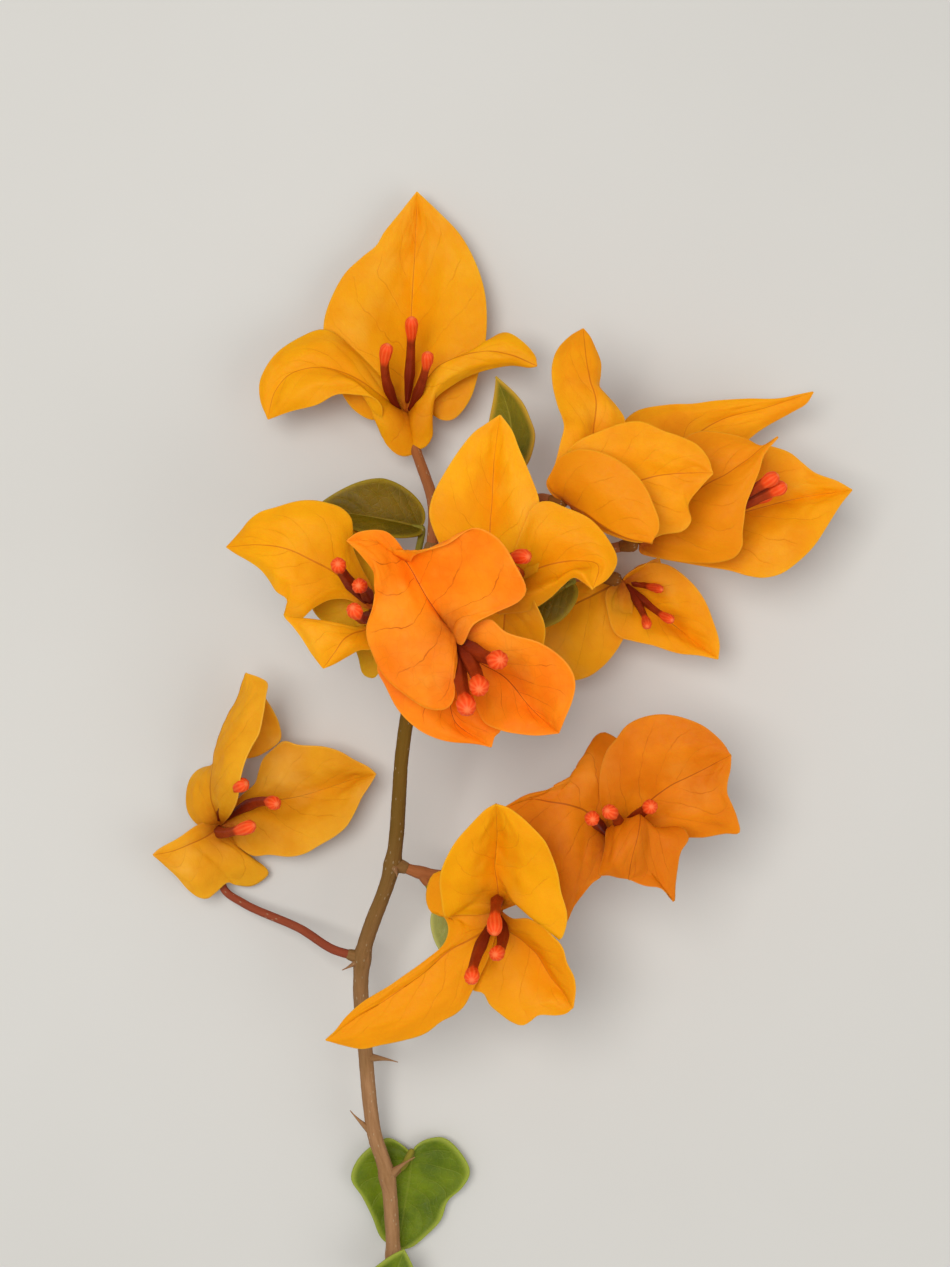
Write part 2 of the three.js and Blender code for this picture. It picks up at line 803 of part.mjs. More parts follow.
const shoots = [...Object.values(LIMBS).filter((limb) => limb.from), ...Object.values(LEAVES)];
for (const [name, limb] of Object.entries(LIMBS)) {
  const line = lines.get(name);
  const radii = line.points.map((point, node) => radiusAt(line, node));
  const sides = limb.through ? LIMB_SIDES : STALK_SIDES;
  const collars = shoots
    .filter((shoot) => shoot.from === name)
    .map((shoot) => collarGeometry(shoot, (shoot.radii ?? PETIOLE_RADII)[0]));
  const thorns = (limb.thorns ?? []).map((thorn) => thornGeometry(line, thorn));
  place(name, joined([limbGeometry(line.points, radii, sides, 2), ...collars, ...thorns]), "stem");
}

for (const [name, bloom] of Object.entries(BLOOMS)) {
  place(name, bloomGeometry(bloom), "bract");
}

for (const [name, leaf] of Object.entries(LEAVES)) {
  const blade = leafOf(leaf);
  const { forward } = midrib(blade.base, blade.tip, blade.belly, 0);
  const inside = along(blade.base, forward, 0.6);
  const points = [...firstPoints(leaf), along(blade.base, forward, -LEAD), inside];
  const radii = points.map((point, k) => THREE.MathUtils.lerp(...PETIOLE_RADII, k / (points.length - 1)));
  const petiole = limbGeometry(points, radii, STALK_SIDES, 2);
  const plate = bladeGeometry(blade, LEAF_THICKNESS, LEAF_CELLS_ALONG, LEAF_CELLS_ACROSS);
  place(name, joined([plate, petiole]), "leaf");
}

// The middle of the branch's outline on the ground becomes the origin
const outline = new THREE.Box3().setFromObject(branch);
branch.position.set(
  -(outline.min.x + outline.max.x) / 2,
  -(outline.min.y + outline.max.y) / 2,
  -outline.min.z,
);

export default branch;
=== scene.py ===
"""A cut, flowering bougainvillea branch that lies on a pale floor under a camera looking down.

Every size is in millimetres in the branch's own drawing. The drawing is moved into the frame by its cut
end, which is the mount of that name. Each mesh is a surface of two parameters, worked out as whole arrays.
"""

import json
import logging
from collections.abc import Sequence
from dataclasses import dataclass, replace
from enum import Enum

import bpy
import numpy as np
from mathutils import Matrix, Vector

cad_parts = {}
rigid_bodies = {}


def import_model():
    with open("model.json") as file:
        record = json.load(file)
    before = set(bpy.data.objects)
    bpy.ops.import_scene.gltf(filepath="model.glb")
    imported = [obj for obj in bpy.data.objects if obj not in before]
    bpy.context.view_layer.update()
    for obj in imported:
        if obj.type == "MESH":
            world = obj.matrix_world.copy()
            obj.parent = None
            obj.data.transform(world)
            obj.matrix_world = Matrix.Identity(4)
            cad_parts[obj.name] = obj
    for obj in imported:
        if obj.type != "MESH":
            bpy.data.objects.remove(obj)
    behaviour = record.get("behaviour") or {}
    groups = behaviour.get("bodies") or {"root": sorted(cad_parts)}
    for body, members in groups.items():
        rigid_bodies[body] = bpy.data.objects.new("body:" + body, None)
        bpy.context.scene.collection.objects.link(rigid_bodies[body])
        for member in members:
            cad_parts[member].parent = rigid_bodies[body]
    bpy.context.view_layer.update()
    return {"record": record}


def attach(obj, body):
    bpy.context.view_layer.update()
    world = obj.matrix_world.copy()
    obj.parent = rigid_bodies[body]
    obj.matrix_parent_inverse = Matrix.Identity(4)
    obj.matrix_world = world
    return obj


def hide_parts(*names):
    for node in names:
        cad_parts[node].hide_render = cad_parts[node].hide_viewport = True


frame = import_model()

LOG = logging.getLogger("branch")
Array = np.ndarray
Triple = tuple[float, float, float]
Pair = tuple[float, float]
Socket = bpy.types.NodeSocket
Feeds = dict[str | int, object]
Materials = dict[Enum, bpy.types.Material]
Lines = dict[str, "Line"]

MILLIMETRE = 0.001
DEGREE = np.pi / 180
BODY = "root"

# The photograph's frame, and where its middle and its eye stand over the drawing
PHOTO_HEIGHT = 1267
PHOTO_MIDDLE = (475.0, 633.5)
PIXEL_AT_BLOOMS = 0.155
BLOOM_HEIGHT = 30.0
EYE = (-3.9, 16.5, 360.0)
SENSOR = 36.0

# The lowest that the middle of a bract or a leaf may come, so that it rests on the ground
REST_HEIGHT = 0.3

# The middle of the stem's cut end in the drawing
CUT_END = (-16.8, -101.3, 1.55)


class Slot(Enum):
    """The record's material slots."""

    GOLDEN = "bract_golden"
    ORANGE = "bract_orange"
    FLOWER = "flower"
    STEM = "stem"
    TWIG = "twig"
    LEAF = "leaf"


def unit(vectors: Array | Triple) -> Array:
    """Gives vectors the length 1.

    Args:
        vectors: Vectors along the last axis.

    Returns:
        The same directions at length 1.
    """
    lengths = np.linalg.norm(vectors, axis=-1, keepdims=True)
    return vectors / np.maximum(lengths, 1e-9)


def dot(one: Array, other: Array) -> Array:
    """The dot product along the last axis, which is kept with length 1."""
    return np.sum(one * other, axis=-1, keepdims=True)


def smooth_step(value: Array, low: float, high: float) -> Array:
    """Rises from 0 at low to 1 at high along the cubic 3t^2 - 2t^3."""
    t = np.clip((value - low) / (high - low), 0, 1)
    return t * t * (3 - 2 * t)


def ripples(places: Array, wavelength: float, rng: np.random.Generator, waves: int = 10) -> Array:
    """Smooth noise: the sum of sine waves of nearly one length that run in directions drawn by chance.

    Args:
        places: Points in millimetres along the last axis.
        wavelength: The waves' mean length.
        rng: The seeded draw of directions, lengths and phases.
        waves: How many waves are summed.

    Returns:
        Values that mostly stay between -1 and 1, one for each point.
    """
    directions = unit(rng.normal(size=(waves, places.shape[-1])))
    pitch = 2 * np.pi / (wavelength * rng.uniform(0.7, 1.4, waves))
    phase = rng.uniform(0, 2 * np.pi, waves)
    angles = places @ (directions * pitch[:, None]).T + phase
    return np.sin(angles).sum(-1) / np.sqrt(2 * waves)


def distances(points: Array) -> Array:
    """The way along a row of points, from the first to each of them."""
    steps = np.linalg.norm(np.diff(points, axis=0), axis=1)
    return np.concatenate([[0], np.cumsum(steps)])


def spokes(forward: Array, aside: Array | Triple, sides: int) -> tuple[Array, Array]:
    """Directions out of a curve, evenly round it and square to it.

    Args:
        forward: Unit tangents of the curve, one for each ring.
        aside: A direction, to which the first spoke of each ring is square.
        sides: Spokes in a ring.

    Returns:
        The directions, of the shape rings x sides x 3, and the angles round the curve.
    """
    across = unit(np.cross(forward, aside))
    up = np.cross(forward, across)
    angle = np.arange(sides) / sides * 2 * np.pi
    return across[:, None] * np.cos(angle)[:, None] + up[:, None] * np.sin(angle)[:, None], angle


def straightened(radii: Array, angle: Array, along: Array) -> Array:
    """The points, rings x sides x 3, of a rod made straight, on which its bark is drawn without a seam."""
    level = np.broadcast_to(along[:, None], (len(along), len(angle)))
    return np.stack([radii * np.cos(angle), radii * np.sin(angle), level], -1)


@dataclass
class Surface:
    """Points, four-cornered faces and values at the points, in the drawing."""

    points: Array
    quads: Array
    values: dict[str, Array]

    @staticmethod
    def joined(parts: Sequence["Surface"]) -> "Surface":
        """Puts several surfaces into one, each still closed by itself.

        Args:
            parts: Surfaces that hold the same values.

        Returns:
            One surface with all their points and faces.
        """
        starts = np.cumsum([0] + [len(part.points) for part in parts[:-1]])
        return Surface(
            points=np.concatenate([part.points for part in parts]),
            quads=np.concatenate([part.quads + start for part, start in zip(parts, starts)]),
            values={key: np.concatenate([part.values[key] for part in parts]) for key in parts[0].values},
        )


@dataclass(frozen=True)
class Drawing:
    """The branch's own drawing, and the way from it to the frame."""

    materials: Materials
    cut_end: Triple = CUT_END

    def shift(self) -> Array:
        """What a place in the drawing moves by, in metres, so that the drawn cut end meets its mount."""
        mounts = {mount["name"]: mount for mount in frame["record"]["mounts"]}
        return np.array(mounts["cut_end"]["pos_m"]) - np.array(self.cut_end) * MILLIMETRE

    def place(self, points: Array | Triple) -> Array:
        """Places of the frame, in metres, for points of the drawing."""
        return np.asarray(points, float) * MILLIMETRE + self.shift()

    def piece(self, node: str, part: str, surface: Surface, finish: Enum, slot: Slot) -> None:
        """Makes a smooth mesh object that rides on the branch in place of a solid.

        Args:
            node: The solid's name.
            part: What the object is of it.
            surface: The object's surface in the drawing, whose values become attributes.
            finish: What it is dressed in.
            slot: The record's slot that it belongs to, which is not used.
        """
        name = f"{node}_{part}"
        mesh = bpy.data.meshes.new(name)
        mesh.vertices.add(len(surface.points))
        mesh.loops.add(surface.quads.size)
        mesh.polygons.add(len(surface.quads))
        mesh.vertices.foreach_set("co", self.place(surface.points).astype(np.float32).ravel())
        mesh.loops.foreach_set("vertex_index", surface.quads.astype(np.int32).ravel())
        mesh.polygons.foreach_set("loop_start", np.arange(0, surface.quads.size, 4, dtype=np.int32))
        for key, values in surface.values.items():
            attribute = mesh.attributes.new(key, "FLOAT_VECTOR", "POINT")
            attribute.data.foreach_set("vector", values.astype(np.float32).ravel())
        mesh.update(calc_edges=True)
        mesh.shade_smooth()
        mesh.materials.append(self.materials[finish])
        item = bpy.data.objects.new(name, mesh)
        bpy.context.scene.collection.objects.link(item)
        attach(item, BODY)
        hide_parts(node)
        LOG.info("%s: %d faces, for %s", name, len(mesh.polygons), node)


def grid_quads(rows: int, columns: int, start: int = 0, turned: bool = False) -> Array:
    """Faces between neighbouring points of a grid that is written row by row.

    Args:
        rows: Points along the first parameter.
        columns: Points along the second parameter.
        start: The first point's number.
        turned: Whether the faces look the other way.

    Returns:
        Four point numbers for each face.
    """
    first = start + np.arange(rows - 1)[:, None] * columns + np.arange(columns - 1)[None, :]
    corners = [first, first + 1, first + columns + 1, first + columns]
    quads = np.stack(corners[::-1] if turned else corners, -1)
    return quads.reshape(-1, 4)


def tube(rings: Array, values: dict[str, Array]) -> Surface:
    """Closes a stack of rings into a tube, with a pole in the middle of each end.

    The rings' points follow each other from the first ring to the last. A pole is the mean of its ring,
    and each face there takes two of the ring's edges, so a ring has an even number of points.

    Args:
        rings: Points of the shape rings x sides x 3.
        values: Values of the shape rings x sides x 3.

    Returns:
        The closed tube.
    """
    count, sides = rings.shape[:2]
    index = np.arange(count * sides).reshape(count, sides)
    after = np.roll(index, -1, axis=1)
    wall = np.stack([index[:-1], after[:-1], after[1:], index[1:]], -1).reshape(-1, 4)
    caps = []
    for pole, ring in ((count * sides, index[0][::-1]), (count * sides + 1, index[-1])):
        near, middle, far = ring[0::2], ring[1::2], np.roll(ring[0::2], -1)
        caps.append(np.stack([np.full(len(near), pole), near, middle, far], -1))
    with_poles = {
        key: np.concatenate([field.reshape(-1, 3), field[0].mean(0)[None], field[-1].mean(0)[None]])
        for key, field in {"place": rings, **values}.items()
    }
    points = with_poles.pop("place")
    return Surface(points, np.concatenate([wall, *caps]), with_poles)


@dataclass(frozen=True)
class Route:
    """A smooth curve through points: a centripetal Catmull-Rom spline, as in a drawing of a limb."""

    through: Array

    def at(self, t: Array) -> tuple[Array, Array]:
        """Places and directions on the curve.

        Each span is the cubic through its two ends whose end slopes follow from the neighbours, with
        knots that are the square roots of the distances apart.

        Args:
            t: Shares of the curve from 0 to 1, with every span of equal share.

        Returns:
            The points and the unit tangents.
        """
        points = self.through
        ends = np.concatenate([[2 * points[0] - points[1]], points, [2 * points[-1] - points[-2]]])
        spans = len(points) - 1
        place = np.clip(np.asarray(t) * spans, 0, spans)
        k = np.minimum(place.astype(int), spans - 1)
        w = (place - k)[:, None]
        a, b, c, d = (ends[k + step] for step in range(4))
        ab, bc, cd = (np.sqrt(np.linalg.norm(q - p, axis=1))[:, None] for p, q in ((a, b), (b, c), (c, d)))
        leave = ((b - a) / ab - (c - a) / (ab + bc) + (c - b) / bc) * bc
        enter = ((c - b) / bc - (d - b) / (bc + cd) + (d - c) / cd) * bc
        square, cube = -3 * b + 3 * c - 2 * leave - enter, 2 * b - 2 * c + leave + enter
        return b + w * (leave + w * (square + w * cube)), unit(leave + w * (2 * square + 3 * w * cube))

    def rings(self, t: Array, sides: int) -> tuple[Array, Array, Array, Array]:
        """The curve's points with a square cross of directions at each, and the angles round it.

        The cross turns as little as it can: one arm is square to the best plane through the curve.

        Args:
            t: Shares of the curve.
            sides: Points round the curve.

        Returns:
            The points, the outward directions (t x sides x 3), the angles and the distances along.
        """
        points, forward = self.at(t)
        plane = np.linalg.svd(self.through - self.through.mean(0))[2][-1]
        out, angle = spokes(forward, -plane, sides)
        return points, out, angle, distances(points)


def under_marks(marks: Sequence[Triple], height: float) -> Array:
    """Places in the drawing for marks on the photograph.

    A mark is a pixel from the photograph's left and upper edges, with a height over a bloom's middle. The
    place is where the camera's ray through the pixel reaches that height: the pixel's way from the middle
    of the photograph, times a pixel's size there, which shrinks evenly towards the eye.

    Args:
        marks: The marks.
        height: The height of the bloom's middle.

    Returns:
        One point for each mark.
    """
    values = np.array(marks, float)
    z = height + values[:, 2]
    pixel = PIXEL_AT_BLOOMS * (EYE[2] - z) / (EYE[2] - BLOOM_HEIGHT)
    x = EYE[0] + (values[:, 0] - PHOTO_MIDDLE[0]) * pixel
    y = EYE[1] + (PHOTO_MIDDLE[1] - values[:, 1]) * pixel
    return np.stack([x, y, z], -1)


class Bench:
    """Lays out the nodes of one procedural material."""

    def __init__(self, name: str) -> None:
        """Starts a material with a Principled shader.

        Args:
            name: The material's name.
        """
        self.material = bpy.data.materials.new(name)
        self.material.use_nodes = True
        self.tree = self.material.node_tree
        self.shader = self.tree.nodes["Principled BSDF"]

    def node(self, kind: str, feeds: Feeds | None = None, **settings: object) -> bpy.types.Node:
        """Adds a node.

        Args:
            kind: The node's type.
            feeds: Sockets and values for its inputs, by their names or numbers.
            settings: Its properties.

        Returns:
            The node.
        """
        made = self.tree.nodes.new(kind)
        for key, value in settings.items():
            setattr(made, key, value)
        for key, value in (feeds or {}).items():
            self.feed(made.inputs[key], value)
        return made

    def feed(self, socket: Socket, value: object) -> None:
        """Links a socket to another, or sets its value.

        Args:
            socket: An input.
            value: An output, a colour as a string, or a value of the input's own kind.
        """
        if isinstance(value, bpy.types.NodeSocket):
            self.tree.links.new(value, socket)
        elif isinstance(value, str):
            socket.default_value = (*linear(value), 1.0)
        else:
            socket.default_value = value

    def vector(self, name: str) -> Socket:
        """A vector attribute whole."""
        return self.node("ShaderNodeAttribute", attribute_name=name).outputs["Vector"]

    def read(self, name: str) -> tuple[Socket, Socket, Socket]:
        """The three numbers of a vector attribute."""
        return tuple(self.node("ShaderNodeSeparateXYZ", {0: self.vector(name)}).outputs)

    def place(self) -> Socket:
        """Object coordinates, in metres."""
        return self.node("ShaderNodeTexCoord").outputs["Object"]

    def scaled(self, vector: Socket, scale: Triple) -> Socket:
        """A vector with each of its numbers multiplied."""
        return self.node("ShaderNodeMapping", {"Vector": vector, "Scale": scale}).outputs[0]

    def math(self, operation: str, *values: Socket | float) -> Socket:
        """A Math node on sockets and numbers."""
        return self.node("ShaderNodeMath", dict(enumerate(values)), operation=operation).outputs[0]

    def times(self, one: Socket, other: Socket | float) -> Socket:
        """The product of two numbers."""
        return self.math("MULTIPLY", one, other)

    def band(self, value: Socket, low: float, high: float, start: float = 0.0, end: float = 1.0) -> Socket:
        """A smooth step from start at low to end at high."""
        feeds = {"Value": value, "From Min": low, "From Max": high, "To Min": start, "To Max": end}
        return self.node("ShaderNodeMapRange", feeds, interpolation_type="SMOOTHSTEP").outputs[0]

    def noise(self, vector: Socket, scale: float, detail: float = 3.0, rough: float = 0.55) -> Socket:
        """Noise from 0 to 1."""
        feeds = {"Vector": vector, "Scale": scale, "Detail": detail, "Roughness": rough}
        return self.node("ShaderNodeTexNoise", feeds).outputs[0]

    def net(self, vector: Socket, scale: float, low: float, high: float) -> Socket:
        """A net of thin lines: 1 on the borders of chance cells, and 0 inside them.

        Args:
            vector: Places.
            scale: Cells in a unit of length.
            low: Share of a cell up to which its border is 1.
            high: Share of a cell from which it is 0.

        Returns:
            The net, whose lines are bent by a noise of half a cell.
        """
        bend = self.node("ShaderNodeTexNoise", {"Vector": vector, "Scale": scale * 0.8}).outputs["Color"]
        shift = {0: bend, 1: (0.5 / scale,) * 3, 2: vector}
        bent = self.node("ShaderNodeVectorMath", shift, operation="MULTIPLY_ADD").outputs[0]
        feeds = {"Vector": bent, "Scale": scale}
        cells = self.node("ShaderNodeTexVoronoi", feeds, feature="DISTANCE_TO_EDGE")
        return self.band(cells.outputs["Distance"], low, high, 1.0, 0.0)

    def midrib(self, along: Socket, rib: Socket, foot: float, tip: float) -> Socket:
        """The midrib's line, by its half widths in millimetres at the blade's foot and at its tip."""
        width = self.band(along, 0.0, 1.0, foot, tip)
        return self.band(self.math("DIVIDE", rib, width), 0.4, 1.0, 1.0, 0.0)

    def laterals(self, phase: Socket, slim: float, wide: float) -> Socket:
        """The side veins' lines: 1 where the phase is whole, and 0 from a share of a step on."""
        return self.band(self.math("PINGPONG", phase, 0.5), slim, wide, 1.0, 0.0)

    def mix(self, one: Socket | str, other: Socket | str, share: Socket) -> Socket:
        """A colour between two colours."""
        return self.node("ShaderNodeMix", {0: share, 6: one, 7: other}, data_type="RGBA").outputs[2]

    def paint(self, ground: Socket, *coats: tuple[Socket | str, Socket]) -> Socket:
        """Lays coats on a colour.

        Args:
            ground: The colour under them.
            coats: Colours with the share of the coat at each place.

        Returns:
            The colour on top.
        """
        for colour, share in coats:
            ground = self.mix(ground, colour, share)
        return ground

    def bump(self, height: Socket, depth: float, strength: float) -> Socket:
        """A normal bent by a height, whose full range is the depth in metres."""
        feeds = {"Height": height, "Distance": depth, "Strength": strength}
        return self.node("ShaderNodeBump", feeds).outputs[0]

    def dress(self, **inputs: object) -> bpy.types.Material:
        """Feeds the shader and gives the material.

        Args:
            inputs: Values for the shader's sockets, with underscores for the blanks in their names.

        Returns:
            The finished material.
        """
        for key, value in inputs.items():
            self.feed(self.shader.inputs[key.replace("_", " ")], value)
        return self.material


def linear(colour: str) -> Triple:
    """The linear colour for one written as six hexadecimal digits after a hash."""
    shares = [int(colour[k:k + 2], 16) / 255 for k in (1, 3, 5)]
    return tuple(s / 12.92 if s <= 0.04045 else ((s + 0.055) / 1.055) ** 2.4 for s in shares)


@dataclass(frozen=True)
class BractFinish:
    """Papery bract: clouds of two golds as painted sun and shade, pale patches as painted highlights, a pale
    rim, dark veins, and a red-brown throat, its own colour and also painted shade where the bracts meet.

    The scales are numbers of waves or cells in a metre.
    """

    name: str
    sun: str
    shade: str
    rim: str
    vein: str
    throat: str = "#8a2a02"
    green: str = "#a89008"
    glow: float = 0.25
    veining: float = 0.26

    pale_scale = 75.0
    cloud_scale = 110.0
    fade_scale = 260.0
    bend_scale = 300.0
    net_scale = 560.0
    grain_scale = 1400.0
    midrib_widths = (0.27, 0.08)
    relief = 0.00012

    def material(self) -> bpy.types.Material:
        """Makes the material from the blade's own measures, so that the veins follow the bract.

        Returns:
            The finished material.
        """
        bench = Bench(self.name)
        along, phase, _ = bench.read("blade")
        rib, rim, _ = bench.read("gauge")
        throat, green, tint = bench.read("hue")
        place = bench.place()
        clouds = bench.noise(place, self.cloud_scale, 3.0)
        pale = bench.noise(bench.scaled(place, (1.0, 1.0, 1.6)), self.pale_scale, 4.0, 0.6)
        grain = bench.noise(place, self.grain_scale, 2.0)
        fade = bench.noise(place, self.fade_scale, 2.0)
        bend = bench.noise(place, self.bend_scale, 2.0)
        net = bench.net(place, self.net_scale, 0.01, 0.06)
        midrib = bench.midrib(along, rib, *self.midrib_widths)
        bent = bench.math("ADD", phase, bench.band(bend, 0.2, 0.8, -0.1, 0.1))
        lateral = bench.times(bench.laterals(bent, 0.006, 0.03), bench.band(fade, 0.35, 0.65, 0.2, 0.85))
        lateral = bench.times(lateral, bench.band(rim, 0.4, 3.5))
        colour = bench.paint(
            # Clouds of the sun gold and the shade gold: painted sunlight and shade in random patches.
            bench.mix(self.sun, self.shade, bench.band(clouds, 0.32, 0.72, 0.0, 0.85)),
            # Pale patches in the rim colour: painted highlights at random places.
            (self.rim, bench.band(pale, 0.5, 0.78, 0.0, 0.5)),
            # The tint: the bract's random tone, with painted shade on bracts that lie in shade.
            (self.shade, tint),
            (self.green, green),
            (self.vein, bench.times(net, self.veining * 0.1)),
            (self.vein, bench.times(lateral, self.veining)),
            (self.rim, bench.band(rim, 0.02, 0.4, 0.25, 0.0)),
            (self.vein, bench.times(midrib, min(0.45 + self.veining * 0.6, 1.0))),
            # The throat: the bract's own red-brown foot, and painted shade in the recess where the bracts
            # meet.
            (self.throat, bench.times(throat, bench.band(grain, 0.2, 0.7, 0.8, 1.0))),
        )
        lines = bench.math("ADD", bench.times(lateral, 0.7), bench.times(net, 0.1))
        height = bench.math("SUBTRACT", bench.times(grain, 0.5), lines)
        return bench.dress(
            Base_Color=colour,
            Roughness=bench.band(grain, 0.2, 0.8, 0.52, 0.68),
            Normal=bench.bump(height, self.relief, 0.6),
            Specular_IOR_Level=0.12,
            Subsurface_Weight=self.glow,
            Subsurface_Radius=(1.0, 0.4, 0.05),
            Subsurface_Scale=0.0014,
        )


class Tone(Enum):
    """The finish of a bloom's bracts."""

    BRIGHT = BractFinish("bract_bright", "#f2a200", "#e88e00", "#f6b838", "#b85806")
    PALE = BractFinish("bract_pale", "#eaa21a", "#d88a08", "#f2b850", "#a85608")
    FIERY = BractFinish("bract_fiery", "#fa8a0c", "#f07002", "#fca83c", "#862800", veining=0.6)
    AMBER = BractFinish("bract_amber", "#f29e04", "#e48400", "#f6b034", "#b05006")
    DEEP = BractFinish("bract_deep", "#e88404", "#ce6a00", "#f0a038", "#8e3c04", veining=0.34)
    BRONZE = BractFinish("bract_bronze", "#f8a60c", "#ea8e04", "#f2ac44", "#9a4a06")


@dataclass(frozen=True)
class LeafFinish:
    """Foliage: a dark and a light green, paler veins and a yellow-green rim.

    The scales are numbers of waves or cells in a metre, and the rim's width is in millimetres.
    """

    name: str
    light: str
    dark: str
    vein: str
    rim: str
    rim_width: float = 0.8
    veining: float = 0.7

    cloud_scale = 160.0
    net_scale = 800.0
    grain_scale = 1800.0
    midrib_widths = (0.42, 0.12)
    relief = 0.0001

    def material(self) -> bpy.types.Material:
        """Makes the material from the blade's own measures.

        Returns:
            The finished material.
        """
        bench = Bench(self.name)
        along, phase, _ = bench.read("blade")
        rib, rim, _ = bench.read("gauge")
        place = bench.place()
        clouds = bench.noise(place, self.cloud_scale, 4.0)
        grain = bench.noise(place, self.grain_scale, 2.0)
        net = bench.net(place, self.net_scale, 0.01, 0.09)
        midrib = bench.midrib(along, rib, *self.midrib_widths)
        lateral = bench.times(bench.laterals(phase, 0.01, 0.05), bench.band(rim, 0.3, 2.0))
        colour = bench.paint(
            bench.mix(self.light, self.dark, bench.band(clouds, 0.3, 0.7)),
            (self.vein, bench.times(net, self.veining * 0.25)),
            (self.vein, bench.times(lateral, self.veining * 0.7)),
            (self.rim, bench.band(rim, 0.1, self.rim_width, 0.85, 0.0)),
            (self.vein, bench.times(midrib, self.veining)),
        )
        lines = bench.math("ADD", lateral, bench.times(net, 0.5))
        height = bench.math("SUBTRACT", bench.times(grain, 0.4), lines)
        return bench.dress(
            Base_Color=colour,
            Roughness=bench.band(grain, 0.2, 0.8, 0.42, 0.6),
            Normal=bench.bump(height, self.relief, 0.5),
            Specular_IOR_Level=0.16,
            Subsurface_Weight=0.15,
            Subsurface_Radius=(0.5, 1.0, 0.15),
            Subsurface_Scale=0.001,
        )


class Green(Enum):
    """The finish of a foliage leaf."""

    FRESH = LeafFinish("leaf_fresh", "#6c7c0c", "#4c5e08", "#848c2c", "#98a038", 1.3, 0.35)
    OLIVE = LeafFinish("leaf_olive_green", "#785e00", "#5e4c00", "#8e7618", "#967c12", 1.0)
    MIXED = LeafFinish("leaf_mixed", "#7c6c08", "#5c5c06", "#988828", "#c4962a", 1.3)
    PALE = LeafFinish("leaf_pale_green", "#9c9c50", "#888c42", "#b2b064", "#b0ae5e", veining=0.5)


@dataclass(frozen=True)
class BarkFinish:
    """Bark of a stem or twig: long streaks, patches and pale pores, drawn on the straightened limb."""

    name: str
    light: str
    dark: str
    blush: str
    pore: str = "#c9b089"

    streak_scale = (2.2, 2.2, 0.22)
    patch_scale = (0.5, 0.5, 0.12)
    pore_scale = (1.5, 1.5, 0.75)
    grain_scale = 6.0
    relief = 0.00025

    def material(self) -> bpy.types.Material:
        """Makes the material from the limb's own round measures, which have no seam.

        Returns:
            The finished material.
        """
        bench = Bench(self.name)
        rod = bench.vector("rod")
        young = bench.read("age")[0]
        streaks = bench.noise(bench.scaled(rod, self.streak_scale), 1.0, 5.0, 0.62)
        patches = bench.noise(bench.scaled(rod, self.patch_scale), 1.0, 3.0)
        grain = bench.noise(rod, self.grain_scale, 3.0)
        feeds = {"Vector": bench.scaled(rod, self.pore_scale), "Scale": 0.8}
        pores = bench.node("ShaderNodeTexVoronoi", feeds, feature="F1")
        pore = bench.band(pores.outputs["Distance"], 0.1, 0.2, 1.0, 0.0)
        colour = bench.paint(
            bench.mix(self.light, self.dark, bench.band(streaks, 0.34, 0.7, 0.0, 0.6)),
            (self.blush, bench.band(patches, 0.35, 0.75, 0.0, 0.25)),
            (self.blush, bench.times(young, 0.95)),
            (self.pore, bench.times(pore, 0.35)),
        )
        height = bench.math("ADD", streaks, bench.times(bench.math("ADD", grain, pore), 0.35))
        return bench.dress(
            Base_Color=colour,
            Roughness=bench.band(grain, 0.3, 0.7, 0.62, 0.85),
            Normal=bench.bump(height, self.relief, 0.8),
            Specular_IOR_Level=0.16,
        )


class Bark(Enum):
    """The finish of a limb."""

    STEM = BarkFinish("bark_stem", "#a67a52", "#8a603a", "#684a04")
    TWIG = BarkFinish("bark_twig", "#a8683a", "#844c24", "#a05c30")
    RED = BarkFinish("bark_red", "#8e4a30", "#6a2e1c", "#9a4428")
    GREENISH = BarkFinish("bark_greenish", "#8c7c28", "#6b6120", "#848428")
    SEAT = BarkFinish("bark_seat", "#8a5416", "#6a3c10", "#86501a")


@dataclass(frozen=True)
class FlowerFinish:
    """Flower tube: dark red-brown at its foot, copper higher up and a coral knob with deep grooves, with
    painted light on its crests and painted shade in its grooves.

    The scales are numbers of waves in a metre.
    """

    name: str = "flower_coral"
    foot: str = "#6e1c04"
    tube: str = "#963208"
    knob: str = "#ee4a14"
    crest_light: str = "#f66a30"
    groove: str = "#cc3a0c"
    tip: str = "#f28a50"

    streak_scale = 700.0
    grain_scale = 2400.0
    relief = 0.00008

    def material(self) -> bpy.types.Material:
        """Makes the material from the place along the flower and its ribs.

        Returns:
            The finished material.
        """
        bench = Bench(self.name)
        along, rib, _ = bench.read("bud")
        place = bench.place()
        grain = bench.noise(place, self.grain_scale, 3.0)
        streaks = bench.noise(place, self.streak_scale, 3.0)
        # Painted light on the rib crests and painted shade in the grooves.
        knob = bench.mix(self.knob, self.crest_light, bench.band(rib, 0.5, 1.0, 0.0, 0.6))
        knob = bench.mix(self.groove, knob, bench.band(rib, 0.0, 0.3, 0.5, 1.0))
        knob = bench.mix(knob, self.tip, bench.band(along, 0.98, 1.0, 0.0, 0.5))
        colour = bench.paint(
            bench.mix(self.foot, self.tube, bench.band(along, 0.1, 0.62)),
            (self.foot, bench.band(streaks, 0.4, 0.75, 0.0, 0.5)),
            (knob, bench.band(along, 0.66, 0.78)),
        )
        return bench.dress(
            Base_Color=colour,
            Roughness=bench.band(grain, 0.2, 0.8, 0.42, 0.6),
            Normal=bench.bump(grain, self.relief, 0.5),
            Specular_IOR_Level=0.15,
            Subsurface_Weight=0.1,
            Subsurface_Radius=(1.0, 0.3, 0.05),
            Subsurface_Scale=0.0008,
        )


class FlowerTone(Enum):
    """The finish of a bloom's flower tubes."""

    CORAL = FlowerFinish()


@dataclass(frozen=True)
class Skin:
    """How finely a blade is made: its cells, its thickness, and its relief in millimetres."""

    rows: int
    columns: int
    thickness: float
    rim_thickness: float
    laterals: float
    groove: float
    quilt: float
    crinkle: float
    frill: float
    tip_half: float = 0.14


